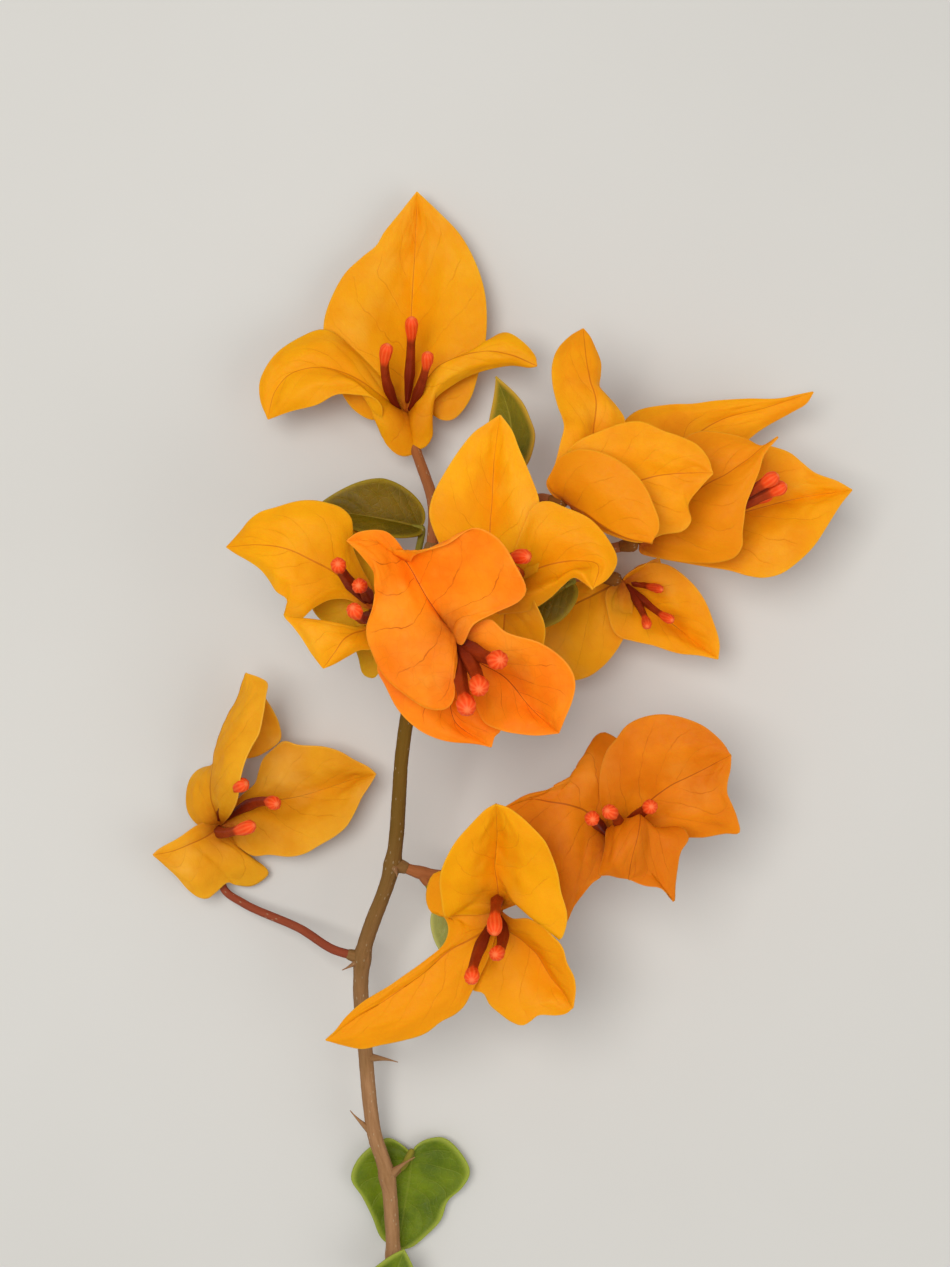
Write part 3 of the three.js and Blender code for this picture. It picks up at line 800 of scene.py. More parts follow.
BRACT_SKIN = Skin(
    rows=96, columns=64, thickness=0.3, rim_thickness=0.12, laterals=6.5, groove=0.05, quilt=0.09,
    crinkle=0.16, frill=0.16)
LEAF_SKIN = Skin(
    rows=80, columns=56, thickness=0.42, rim_thickness=0.2, laterals=7.5, groove=0.09, quilt=0.12,
    crinkle=0.1, frill=0.15)


class Sheet:
    """A thin blade: a midrib from its base to its tip, and a half on each side of it.

    Each kind of sheet has its own midrib and its own middle surface. The shell round them is the same.
    Lengths are in millimetres. A ripple is given by its weight and its wavelength.
    """

    green: float
    deep: float

    along_power = 0.9
    lean = (0.34, 0.1)
    wobble = (0.12, 9.0)
    right_phase = 0.37
    cell_power = 0.7
    flat_by_rib = 0.9
    crinkles = ((0.6, 6.5), (0.4, 3.0))
    frill_waves = (2.5, 3.6)
    frill_wave = 0.7
    frill_ripple = (0.6, 5.0)
    rib_width = 0.28
    keel = 2.5
    throat_reach = 3.6
    throat_shares = (0.9, 0.405)
    most_tint = 0.35

    def midrib(self, u: Array) -> tuple[Array, Array]:
        """The points and the unit tangents of the middle line at shares of it."""
        raise NotImplementedError

    def middle(self, u: Array, v: Array, tip_half: float) -> tuple[Array, Array]:
        """The points of the middle surface, and the half widths there."""
        raise NotImplementedError

    @staticmethod
    def half(values: Pair, v: Array) -> Array:
        """The number for each side of the midrib."""
        return np.where(v < 0, values[0], values[1])

    @staticmethod
    def normals(points: Array) -> Array:
        """Unit normals of a grid, from its steps across and along."""
        return unit(np.cross(np.gradient(points, axis=1), np.gradient(points, axis=0)))

    @staticmethod
    def faces(rows: int, columns: int) -> Array:
        """The faces of a shell whose front and back are grids, one numbered after the other.

        Args:
            rows: Points along each grid.
            columns: Points across it.

        Returns:
            The front's faces, the back's, and the rim's between them.
        """
        count = rows * columns
        index = np.arange(count).reshape(rows, columns)
        rim = np.concatenate([index[0, :-1], index[:-1, -1], index[-1, :0:-1], index[:0:-1, 0]])
        after = np.roll(rim, -1)
        edge = np.stack([rim, rim + count, after + count, after], -1)
        back = grid_quads(rows, columns, count, turned=True)
        return np.concatenate([grid_quads(rows, columns), back, edge])

    def phase(self, skin: Skin, u: Array, v: Array, wobble: Array) -> Array:
        """The count of side veins, which is whole on each of them.

        The veins leave the midrib at even steps and lean towards the tip: the phase is the count of steps
        along less a share of the way across. The right half's veins are shifted by a part of a step.

        Args:
            skin: Its number of side veins.
            u: Shares along the blade.
            v: Shares across it.
            wobble: Noise that bends the veins.

        Returns:
            The phase at each point.
        """
        reach, power = np.abs(v), self.along_power
        steps = u ** power - self.lean[0] * reach ** power - self.lean[1] * reach * u
        return skin.laterals * steps + self.wobble[0] * wobble + np.where(v < 0, 0.0, self.right_phase)

    def relief(
        self, skin: Skin, u: Array, v: Array, half: Array, phase: Array, flat: Array,
        rng: np.random.Generator,
    ) -> Array:
        """How far the sheet rises from its middle surface.

        It is the sum of quilted cells between the side veins, |sin(pi phase)| to a power, of crinkles away
        from the rim, and of a frill that grows with the cube of the way to the margin.

        Args:
            skin: Heights of the three.
            u: Shares along the blade.
            v: Shares across it.
            half: Half widths.
            phase: The count of side veins.
            flat: The blade's points as if it lay flat.
            rng: The draw of the crinkles and the frill.

        Returns:
            The height at each point.
        """
        reach = np.abs(v)
        inside = smooth_step(half * (1 - reach), 0.2, 3.0) * smooth_step(half, 0.5, 4.0)
        cells = np.abs(np.sin(np.pi * phase)) ** self.cell_power
        near_rib = 1 - np.exp(-((half * reach) / self.flat_by_rib) ** 2)
        crinkles = sum(weight * ripples(flat, wavelength, rng) for weight, wavelength in self.crinkles)
        margin = reach ** 3 * smooth_step(half, 1.0, 6.0)
        turns = rng.uniform(*self.frill_waves) * u + self.half(tuple(rng.uniform(0, 1, 2)), v)
        weight, wavelength = self.frill_ripple
        waves = self.frill_wave * np.sin(2 * np.pi * turns) + weight * ripples(flat, wavelength, rng)
        quilt = skin.quilt * cells * inside * near_rib
        return quilt + skin.crinkle * crinkles * inside + skin.frill * margin * waves

    def surface(self, skin: Skin, seed: int) -> Surface:
        """The blade as a thin closed shell with quilted cells between its veins.

        Both layers follow the relief, are kept above the ground, and come closer towards the rim.

        Args:
            skin: Cells, thickness and relief.
            seed: What the chance crinkles are drawn from.

        Returns:
            The shell, with the values that its finish reads.
        """
        rng = np.random.default_rng(seed)
        rows, columns = skin.rows + 1, skin.columns + 1
        u = ((1 - np.cos(np.pi * np.arange(rows) / skin.rows)) / 2)[:, None] + np.zeros((1, columns))
        v = np.linspace(-1, 1, columns)[None, :] + np.zeros((rows, 1))
        none, reach = np.zeros_like(u), np.abs(v)
        middle, half = self.middle(u, v, skin.tip_half)
        start, end = self.midrib(np.array([0.0, 1.0]))[0]
        flat = np.stack([u * np.linalg.norm(end - start), v * half.max(), none], -1)
        phase = self.phase(skin, u, v, ripples(flat, self.wobble[1], rng))
        relief = self.relief(skin, u, v, half, phase, flat, rng)
        middle = middle + self.normals(middle) * relief[..., None]
        middle[..., 2] = np.maximum(middle[..., 2], REST_HEIGHT)
        across, normal = half * reach, self.normals(middle)
        groove = skin.groove * np.exp(-(across / self.rib_width) ** 2) * (1 - u)
        bulk = np.sqrt(np.clip(1 - reach ** 4, 0, 1))
        thick = skin.rim_thickness + (skin.thickness - skin.rim_thickness) * bulk
        front = middle + normal * (thick / 2 - groove)[..., None]
        back = middle - normal * (thick / 2 + self.keel * groove)[..., None]
        # Throat: red-brown fading out from the base, its own colour and painted shade where the bracts meet,
        # stronger on the front face.
        throat = np.exp(-(np.linalg.norm(middle - start, axis=-1) / self.throat_reach) ** 2)
        # The tint darkens the bract towards the shade gold: a random share is its own tone, and the deep is
        # partly a more orange tone and partly painted shade on bracts that lie in shade.
        tint = min(rng.uniform(0.0, self.most_tint) + self.deep, 1.0)
        layers = [
            {
                "place": layer,
                "blade": np.stack([u, phase, none], -1),
                "gauge": np.stack([across, half * (1 - reach), none], -1),
                "hue": np.stack([throat * share, none + self.green, none + tint], -1),
            }
            for layer, share in zip((front, back), self.throat_shares)]
        values = {key: np.concatenate([layer[key].reshape(-1, 3) for layer in layers]) for key in layers[0]}
        return Surface(values.pop("place"), self.faces(rows, columns), values)


@dataclass(frozen=True)
class Blade(Sheet):
    """A thin blade: a midrib from its base to its tip, with a curved half on each side.

    The second number of each pair is for the half on the side of chord x face. The belly pushes the
    midrib's curve aside, and the ears reach back past the base. The fold and the curl are in degrees.
    """

    tip: Triple
    face: Triple
    halves: Pair
    belly: Triple = (0.0, 0.0, 0.0)
    base: Triple = (0.0, 0.0, 0.0)
    fold: Pair = (8.0, 8.0)
    curl: float = 16.0
    widest: float = 0.38
    taper: float = 1.7
    ruffle: float = 0.06
    ear: float = 0.17
    green: float = 0.0
    deep: float = 0.0

    least_curl = 1e-4
    ear_power = 1.5
    ear_fade = 6
    ruffle_waves = 3
    ruffle_phases = (0.4, 1.1)

    def placed(self, at: Triple) -> "Blade":
        """The same blade with its base at a bloom's middle and its tip measured from there."""
        return replace(self, base=at, tip=tuple(np.add(at, self.tip)))

    def midrib(self, u: Array) -> tuple[Array, Array]:
        """The middle line: a cubic Bezier curve whose inner points are thirds of the chord plus the belly.

        Args:
            u: Shares of the way from the base to the tip.

        Returns:
            The points and the unit tangents.
        """
        base, tip, belly = (np.array(place) for place in (self.base, self.tip, self.belly))
        one = base + (tip - base) / 3 + belly
        two = base + (tip - base) * 2 / 3 + belly
        u = np.asarray(u)[..., None]
        w = 1 - u
        point = w ** 3 * base + 3 * w * w * u * one + 3 * w * u * u * two + u ** 3 * tip
        slope = w * w * (one - base) + 2 * w * u * (two - one) + u * u * (tip - two)
        return point, unit(slope)

    def share(self, u: Array) -> Array:
        """Share of the full width: a quarter of an ellipse up to the widest place, then a power taper.

        Args:
            u: Shares along the blade.

        Returns:
            Shares from 0 to 1.
        """
        rise = np.sqrt(np.clip(1 - (1 - u / self.widest) ** 2, 0, 1))
        fall = 1 - np.clip((u - self.widest) / (1 - self.widest), 0, 1) ** self.taper
        return np.where(u < self.widest, rise, fall)

    def middle(self, u: Array, v: Array, tip_half: float) -> tuple[Array, Array]:
        """The blade's middle surface, with v from -1 at one margin to 1 at the other.

        Each half is an arc of the half's width that leaves the midrib at the fold angle and bends by
        the curl angle. A wave of the margin is added along the normal, and the ears run back.

        Args:
            u: Shares along the blade, as a grid.
            v: Shares across it, as a grid.
            tip_half: The least half width.

        Returns:
            The points, and the half widths there.
        """
        point, forward = self.midrib(u)
        chord = np.subtract(self.tip, self.base)
        side = np.cross(unit(chord), unit(self.face))
        side = unit(side - dot(forward, side) * forward)
        normal = np.cross(side, forward)
        share, reach = self.share(u), np.abs(v)
        half = np.maximum(self.half(self.halves, v) * share, tip_half)
        fold = self.half(self.fold, v) * DEGREE
        curl = self.curl * DEGREE + self.least_curl
        outward = half / curl * (np.sin(fold + curl * reach) - np.sin(fold))
        lift = half / curl * (np.cos(fold) - np.cos(fold + curl * reach))
        turns = self.ruffle_waves * u + self.half(self.ruffle_phases, v)
        lift = lift + self.ruffle * half * reach ** 2 * np.sin(np.pi * turns)
        ear = self.ear * np.linalg.norm(chord) * reach ** self.ear_power
        ear = ear * (1 - u) ** self.ear_fade * np.sqrt(share)
        along = [part[..., None] for part in (np.sign(v) * outward, lift, ear)]
        return point + side * along[0] + normal * along[1] - forward * along[2], half


@dataclass(frozen=True)
class LeafBlade(Blade):
    """A foliage blade: flatter than a bract, with smaller ears."""

    fold: Pair = (6.0, 6.0)
    curl: float = 10.0
    widest: float = 0.4
    taper: float = 1.6
    ruffle: float = 0.05
    ear: float = 0.1


@dataclass(frozen=True)
class Petal(Sheet):
    """A bract by its marks on the photograph: along its midrib, and along its margin on each side.

    Left and right are as the camera sees them on the way from the base to the tip. The bulge is how far
    each half swells towards the camera, as a share of its width, and the peak is where it swells most,
    from 0 at the midrib to 1 at the margin. The pace is the power that turns a share of the midrib into
    the share of each margin that it is joined to: below 1, the margin is ahead.
    """

    spine: tuple[Triple, ...]
    left: tuple[Triple, ...]
    right: tuple[Triple, ...]
    bulge: Pair = (0.1, 0.1)
    peak: Pair = (0.5, 0.5)
    pace: Pair = (1.0, 1.0)
    green: float = 0.0
    deep: float = 0.0
    base: Triple = (0.0, 0.0, 0.0)

    samples = 400
    steadiness = 0.5
    ease = 1.5

    def placed(self, at: Triple) -> "Petal":
        """The same bract with its base at a bloom's middle."""
        return replace(self, base=at)

    def follow(self, marks: tuple[Triple, ...], u: Array) -> tuple[Array, Array]:
        """Walks at an even pace from the base through marks.

        Args:
            marks: The marks.
            u: Shares of the curve's length.

        Returns:
            The points and the unit tangents.
        """
        route = Route(np.concatenate([[self.base], under_marks(marks, self.base[2])]))
        t = np.linspace(0, 1, self.samples)
        length = distances(route.at(t)[0])
        return route.at(np.interp(u, length / length[-1], t))

    def midrib(self, u: Array) -> tuple[Array, Array]:
        """The points and the unit tangents of the curve through the spine's marks."""
        return self.follow(self.spine, u)

    def middle(self, u: Array, v: Array, tip_half: float) -> tuple[Array, Array]:
        """The bract's middle surface, with v from -1 at the left margin to 1 at the right one.

        Each half is made of rays from the midrib to its margin, at equal shares of both lengths. A ray
        swells by an eased sine arch of the bulge times its length, square to the ray and to the midrib.

        Args:
            u: Shares along the bract, as a grid.
            v: Shares across it, as a grid.
            tip_half: How far each margin is moved outwards, so that the ends are blunt.

        Returns:
            The points, and the rays' lengths there.
        """
        along = u[:, 0]
        spine, forward = self.midrib(along)
        margins = [
            self.follow((*marks, self.spine[-1]), along ** pace)[0]
            for marks, pace in zip((self.left, self.right), self.pace)]
        side = unit((margins[1] - margins[0]).sum(0))
        rays = [margins[0] - side * tip_half - spine, margins[1] + side * tip_half - spine]
        ray = np.where(v[..., None] < 0, rays[0][:, None], rays[1][:, None])
        length = np.linalg.norm(ray, axis=-1)
        facing = np.cross(ray, forward[:, None]) * np.sign(v)[..., None]
        facing = unit(facing + self.steadiness * facing.mean(0))
        reach = np.abs(v)
        power = np.log(0.5) / np.log(self.half(self.peak, v))
        swell = self.half(self.bulge, v) * length * np.abs(np.sin(np.pi * reach ** power)) ** self.ease
        return spine[:, None] + ray * reach[..., None] + facing * swell[..., None], length


@dataclass(frozen=True)
class Flower:
    """A closed flower: a slim tube from the midrib of its bract to a ribbed knob.

    The swell of the tube is a share of its five angles and a constant. That of the knob is a share of its
    ribs, one of the angles and a constant.
    """

    on: int
    top: Triple
    size: float = 0.8
    knob: float = 3.4

    rings = 56
    sides = 40
    crowding = 0.8
    foot_share = 0.05
    rise = 6.0
    bend_share = 0.35
    aside = (0.3, 0.9, 0.1)
    ribs = 5
    swirl = 1.2
    swirl_from = 0.8
    rough = 0.03
    rough_reach = 1.5
    rough_wave = 2.5
    tube_swell = (0.16, -0.05)
    knob_swell = (0.09, 0.05, -0.08)
    knob_from = 0.7
    knob_band = (0.68, 0.78)
    profile_at = (0.0, 0.14, 0.3, 0.5, 0.66, 0.74, 0.81, 0.92, 0.97, 1.0)
    profile = (0.5, 0.85, 1.2, 0.98, 0.9, 1.05, 1.38, 1.46, 1.16, 0.2)
    smoothing = (1, 2, 3, 2, 1)

    def radii(self, stage: Array) -> Array:
        """The radii of the rings: the profile, smoothed, with the last one kept small.

        Args:
            stage: Shares of the profile at the rings.

        Returns:
            The radii, as a column.
        """
        radii = np.pad(np.interp(stage, self.profile_at, self.profile) * self.size, 2, mode="edge")
        radii = np.convolve(radii, np.array(self.smoothing) / sum(self.smoothing), mode="valid")
        radii[-1] = self.profile[-1] * self.size
        return radii[:, None]

    def surface(self, bloom: "Bloom", bract: Sheet, seed: int) -> Surface:
        """The tube: rings along a quadratic Bezier curve, five-angled below and ribbed at the knob.

        Args:
            bloom: The bloom that the flower stands in.
            bract: The bract that carries it.
            seed: What its small unevenness is drawn from.

        Returns:
            The closed tube, with its place along and its ribs as values.
        """
        rng = np.random.default_rng(seed)
        share = np.linspace(0, 1, self.rings) ** self.crowding
        start, forward = bract.midrib(np.array([self.foot_share]))
        end = np.add(bloom.at, self.top)
        bend = (start + forward * self.rise) * (1 - self.bend_share) + end * self.bend_share
        t = share[:, None]
        points = (1 - t) ** 2 * start + 2 * (1 - t) * t * bend + t * t * end
        out, angle = spokes(unit((1 - t) * (bend - start) + t * (end - bend)), self.aside, self.sides)
        length = np.linalg.norm(end - start)
        stage = np.interp(share, (0, 1 - self.knob / length, 1), (0, self.knob_from, 1))[:, None]
        knob = smooth_step(stage, *self.knob_band)
        turn = self.swirl * (t - self.swirl_from) * knob
        ribs = np.abs(np.cos(self.ribs * (angle + turn + rng.uniform(0, 1))))
        angles = 0.5 + 0.5 * np.cos(self.ribs * angle)
        uneven = ripples(points[:, None] + out * self.rough_reach, self.rough_wave, rng)
        below = self.tube_swell[0] * angles + self.tube_swell[1]
        above = self.knob_swell[0] * ribs + self.knob_swell[1] * angles + self.knob_swell[2]
        swell = 1 + (1 - knob) * below + knob * above + self.rough * uneven
        rings = points[:, None] + out * (self.radii(stage[:, 0]) * swell)[..., None]
        bud = [np.broadcast_to(stage, swell.shape), ribs * knob + angles * (1 - knob), np.zeros_like(swell)]
        return tube(rings, {"bud": np.stack(bud, -1)})


@dataclass(frozen=True)
class Bloom:
    """A bloom: three bracts and their flowers round a seat, measured from where the bracts meet."""

    name: str
    at: Triple
    back: Triple
    tone: Tone
    slot: Slot
    bracts: tuple[Sheet, ...]
    flowers: tuple[Flower, ...]

    seat_along = (0.25, 0.5, 0.9, 1.3, 1.8, 2.3, 2.8, 3.2)
    seat_radii = (0.4, 0.85, 1.1, 1.2, 1.15, 1.05, 0.95, 0.85)
    seat_sides = 32
    seat_ribs = 10
    seat_rib_height = 0.05
    seat_young = 0.4
    aside = (0.2, 0.3, 0.9)
    bract_seeds = 10
    flower_seeds = 100

    def seat(self) -> Surface:
        """The seat: rings along the way back to the stalk, drawn in towards it, with low ribs.

        Returns:
            The closed seat, with its straightened points and its share of young bark as values.
        """
        back, along = unit(self.back), np.array(self.seat_along)
        out, angle = spokes(back[None], self.aside, self.seat_sides)
        ribs = 1 + self.seat_rib_height * np.cos(self.seat_ribs * angle)
        radii = np.array(self.seat_radii)[:, None] * ribs
        points = self.at + back * along[:, None]
        rod = straightened(radii, angle, along)
        young = np.zeros_like(rod) + (self.seat_young, 0.0, 0.0)
        return tube(points[:, None] + out * radii[..., None], {"rod": rod, "age": young})

    def seat_end(self, clearance: float) -> Array:
        """Where the bloom's stalk ends, just behind the seat."""
        return self.at + unit(self.back) * (self.seat_along[-1] + clearance)

    def build(self, drawing: Drawing, seed: int) -> None:
        """Makes the bloom's bracts, flowers and seat.

        Args:
            drawing: The way into the frame.
            seed: What the bloom's chance crinkles are drawn from.
        """
        placed = [bract.placed(self.at) for bract in self.bracts]
        sheets = [
            bract.surface(BRACT_SKIN, seed + self.bract_seeds * k) for k, bract in enumerate(placed)]
        tubes = [
            flower.surface(self, placed[flower.on], seed + self.flower_seeds * k)
            for k, flower in enumerate(self.flowers, 1)]
        drawing.piece(self.name, "bracts", Surface.joined(sheets), self.tone, self.slot)
        drawing.piece(self.name, "flowers", Surface.joined(tubes), FlowerTone.CORAL, Slot.FLOWER)
        drawing.piece(self.name, "seat", self.seat(), Bark.SEAT, Slot.TWIG)


@dataclass(frozen=True)
class Line:
    """The points that a limb passes, with its radii: one for each point, or one for each end."""

    points: Array
    radii: tuple[float, ...]

    def all_radii(self) -> Array:
        """The radius at every point of the line."""
        shares = np.linspace(0, 1, len(self.points))
        return np.interp(shares, np.linspace(0, 1, len(self.radii)), self.radii)

    def radius(self, node: int) -> float:
        """The radius at a point of the line."""
        return float(self.all_radii()[node])


@dataclass(frozen=True)
class Rod:
    """A round rod on a curve through points, with long low ridges and a swelling at each node.

    The radius at a place is the one between its neighbours' radii plus a bell at each swelling, times 1
    plus the ridges. The ridges are ripples, each with its weight, its wavelength in millimetres and how
    much longer it is along the rod. The rough is the ridges' share of the radius, and the young is the
    share of young bark, for the whole rod or for each ring.
    """

    points: Array
    radii: Array
    rings: int
    sides: int
    rough: float
    young: float | Array
    swellings: Sequence[Pair] = ()

    bell_width = 1.6
    ridges = ((0.6, 0.9, 8.0), (0.4, 0.5, 2.5), (0.5, 5.0, 1.0))

    def surface(self, rng: np.random.Generator) -> Surface:
        """The closed rod.

        Args:
            rng: The draw of the ridges.

        Returns:
            The rod, with its straightened points and its share of young bark as values.
        """
        t = np.linspace(0, 1, self.rings)
        points, out, angle, along = Route(self.points).rings(t, self.sides)
        radius = np.interp(t, np.linspace(0, 1, len(self.radii)), self.radii)
        for share, height in self.swellings:
            gap = along - np.interp(share, t, along)
            radius = radius + height * np.exp(-(gap / self.bell_width) ** 2)
        rod = straightened(radius[:, None], angle, along)
        ridges = sum(
            weight * ripples(rod * (1, 1, 1 / stretch), wavelength, rng)
            for weight, wavelength, stretch in self.ridges)
        grown = radius[:, None] * (1 + self.rough * ridges)
        age = np.zeros_like(rod)
        age[..., 0] = np.broadcast_to(self.young, (self.rings,))[:, None]
        return tube(points[:, None] + out * grown[..., None], {"rod": rod, "age": age})


@dataclass(frozen=True)
class Shoot:
    """Where a younger limb or a petiole leaves an older limb, and the way it goes.

    The collar's rod is given by its rings, its sides, its rough and its young.
    """

    parent: str
    node: int
    toward: Triple

    clearance = 0.3
    lead = 2.2
    inside = 1.2
    collar_length = 1.3
    collar_at = (0.0, 0.6, 0.9, 1.0)
    collar_profile = (1.7, 1.35, 1.18, 1.05)
    collar_points = 10
    collar_rod = (24, 28, 0.05, 0.5)

    def way(self) -> Array:
        """The unit direction in which the younger limb leaves."""
        return unit(self.toward)

    def root(self, lines: Lines) -> tuple[Array, Array]:
        """The middle of the older limb at its node, and the flat end of the collar there."""
        middle, radius = lines[self.parent].points[self.node], lines[self.parent].radius(self.node)
        return middle, middle + self.way() * (radius + self.collar_length)

    def first(self, lines: Lines) -> Array:
        """The first two points of the younger limb, straight out of its collar."""
        start = self.root(lines)[1] + self.way() * self.clearance
        return np.stack([start, start + self.way() * self.lead])

    def collar(self, lines: Lines, radius: float) -> Rod:
        """The collar of the older limb, which narrows towards the younger limb's radius.

        Args:
            lines: The lines of all limbs.
            radius: The younger limb's radius.

        Returns:
            The collar, from the middle of the older limb.
        """
        middle, end = self.root(lines)
        share = np.linspace(0, 1, self.collar_points)
        radii = radius * np.interp(share, self.collar_at, self.collar_profile)
        return Rod(middle + (end - middle) * share[:, None], radii, *self.collar_rod)


@dataclass(frozen=True)
class Thorn:
    """A thorn at a node of its limb, whose rod is given by its rings, its sides, its rough and its young."""

    node: int
    toward: Triple
    length: float

    knots = 18
    rod = (28, 16, 0.02, 0.1)
    aside = (0.2, 0.1, 0.9)
    hook_up = 0.3
    hook_aside = 0.12
    hook_power = 2.5
    tip_radius = 0.08
    foot_radius = 0.85
    slimming = 1.6
    seed = 3

    def surface(self, line: Line) -> Surface:
        """A slim cone whose radius falls with a power of the way left, bent up at its tip.

        Args:
            line: The line of its limb.

        Returns:
            The closed cone, from the middle of the limb.
        """
        toward, share = unit(self.toward), np.linspace(0, 1, self.knots)
        hook = np.array([0, 0, self.hook_up])
        hook = hook + self.hook_aside * self.length * unit(np.cross(toward, self.aside))
        reach = line.radius(self.node) + self.length
        points = line.points[self.node] + toward * (share * reach)[:, None]
        points = points + hook * (share ** self.hook_power)[:, None]
        radii = self.tip_radius + self.foot_radius * (1 - share) ** self.slimming
        return Rod(points, radii, *self.rod).surface(np.random.default_rng(self.seed))


@dataclass(frozen=True)
class Limb:
    """A stem, branch or stalk: by its own points, or from a shoot through bends to a bloom."""

    name: str
    shoot: Shoot | None = None
    bloom: str = ""
    bend: tuple[Triple, ...] = ()
    radii: tuple[float, ...] = (0.85, 0.8)
    bark: Bark = Bark.TWIG
    slot: Slot = Slot.TWIG
    through: tuple[Triple, ...] = ()
    thorns: tuple[Thorn, ...] = ()

    ring_step = 0.3
    end_rings = 8
    sides = 36
    rough = 0.045
    swelling = 0.25
    young = 0.5
    ripening = (0.32, 0.72)

    def line(self, lines: Lines, blooms: dict[str, Bloom]) -> Line:
        """The limb's points with its radii.

        Args:
            lines: The lines of the older limbs.
            blooms: The blooms by their names.

        Returns:
            Its own points, or those from its collar through its bends to the seat of its bloom.
        """
        if self.shoot is None:
            return Line(np.array(self.through), self.radii)
        bloom = blooms[self.bloom]
        end = bloom.seat_end(Shoot.clearance)
        before = end + unit(bloom.back) * Shoot.lead
        bend = np.array(self.bend).reshape(-1, 3)
        return Line(np.concatenate([self.shoot.first(lines), bend, [before, end]]), self.radii)

    def rod(self, line: Line, shoots: Sequence[tuple[Shoot, float]]) -> Rod:
        """The limb without its collars and thorns.

        Args:
            line: Its line.
            shoots: The shoots that leave it, each with its radius.

        Returns:
            The rod. A limb that leaves another one starts inside its collar and ends inside its seat.
        """
        points, young = line.points.copy(), self.young
        if self.shoot is not None:
            points[0] -= self.shoot.way() * Shoot.inside
            points[-1] += unit(points[-1] - points[-2]) * Shoot.inside
        rings = int(distances(points)[-1] / self.ring_step) + self.end_rings
        if self.shoot is None:
            young = smooth_step(np.linspace(0, 1, rings), *self.ripening)
        swellings = [(shoot.node / (len(points) - 1), self.swelling) for shoot, _ in shoots]
        return Rod(points, line.all_radii(), rings, self.sides, self.rough, young, swellings)

    def build(
        self, drawing: Drawing, lines: Lines, shoots: Sequence[tuple[Shoot, float]], seed: int,
    ) -> None:
        """Makes the limb with its collars and thorns.

        Args:
            drawing: The way into the frame.
            lines: The lines of all limbs.
            shoots: The shoots that leave this limb, each with its radius.
            seed: What the limb's ridges are drawn from.
        """
        rng = np.random.default_rng(seed)
        line = lines[self.name]
        rods = [self.rod(line, shoots)] + [shoot.collar(lines, radius) for shoot, radius in shoots]
        parts = [rod.surface(rng) for rod in rods] + [thorn.surface(line) for thorn in self.thorns]
        drawing.piece(self.name, "bark", Surface.joined(parts), self.bark, self.slot)


@dataclass(frozen=True)
class Leaf:
    """A foliage leaf: a veined blade on a petiole that leaves its limb at a node.

    The petiole's rod is given by its rings, its sides, its rough and its young.
    """

    name: str
    shoot: Shoot
    green: Green
    blade: Sheet

    petiole_radii = (0.6, 0.5)
    petiole_end = 0.3
    straight = 0.6
    before_blade = 0.4
    along_blade = 1.2
    petiole_rod = (90, 24, 0.04, 0.2)

    def petiole(self, lines: Lines) -> Rod:
        """The petiole.

        Args:
            lines: The lines of all limbs.

        Returns:
            The rod, from inside its collar to a little way along the blade's midrib.
        """
        base, forward = self.blade.midrib(np.array([0.0]))
        first, way = self.shoot.first(lines)[0], self.shoot.way()
        lead = [first - way * Shoot.inside, first + way * self.straight]
        points = np.concatenate(
            [lead, base - forward * self.before_blade, base, base + forward * self.along_blade])
        radii = np.linspace(*self.petiole_radii, len(points))
        radii[-1] = self.petiole_end
        return Rod(points, radii, *self.petiole_rod)

    def build(self, drawing: Drawing, lines: Lines, seed: int) -> None:
        """Makes the blade and the petiole.

        Args:
            drawing: The way into the frame.
            lines: The lines of all limbs.
            seed: What the leaf's relief is drawn from.
        """
        blade = self.blade.surface(LEAF_SKIN, seed)
        petiole = self.petiole(lines).surface(np.random.default_rng(seed))
        drawing.piece(self.name, "blade", blade, self.green, Slot.LEAF)
        drawing.piece(self.name, "petiole", petiole, Bark.GREENISH, Slot.LEAF)


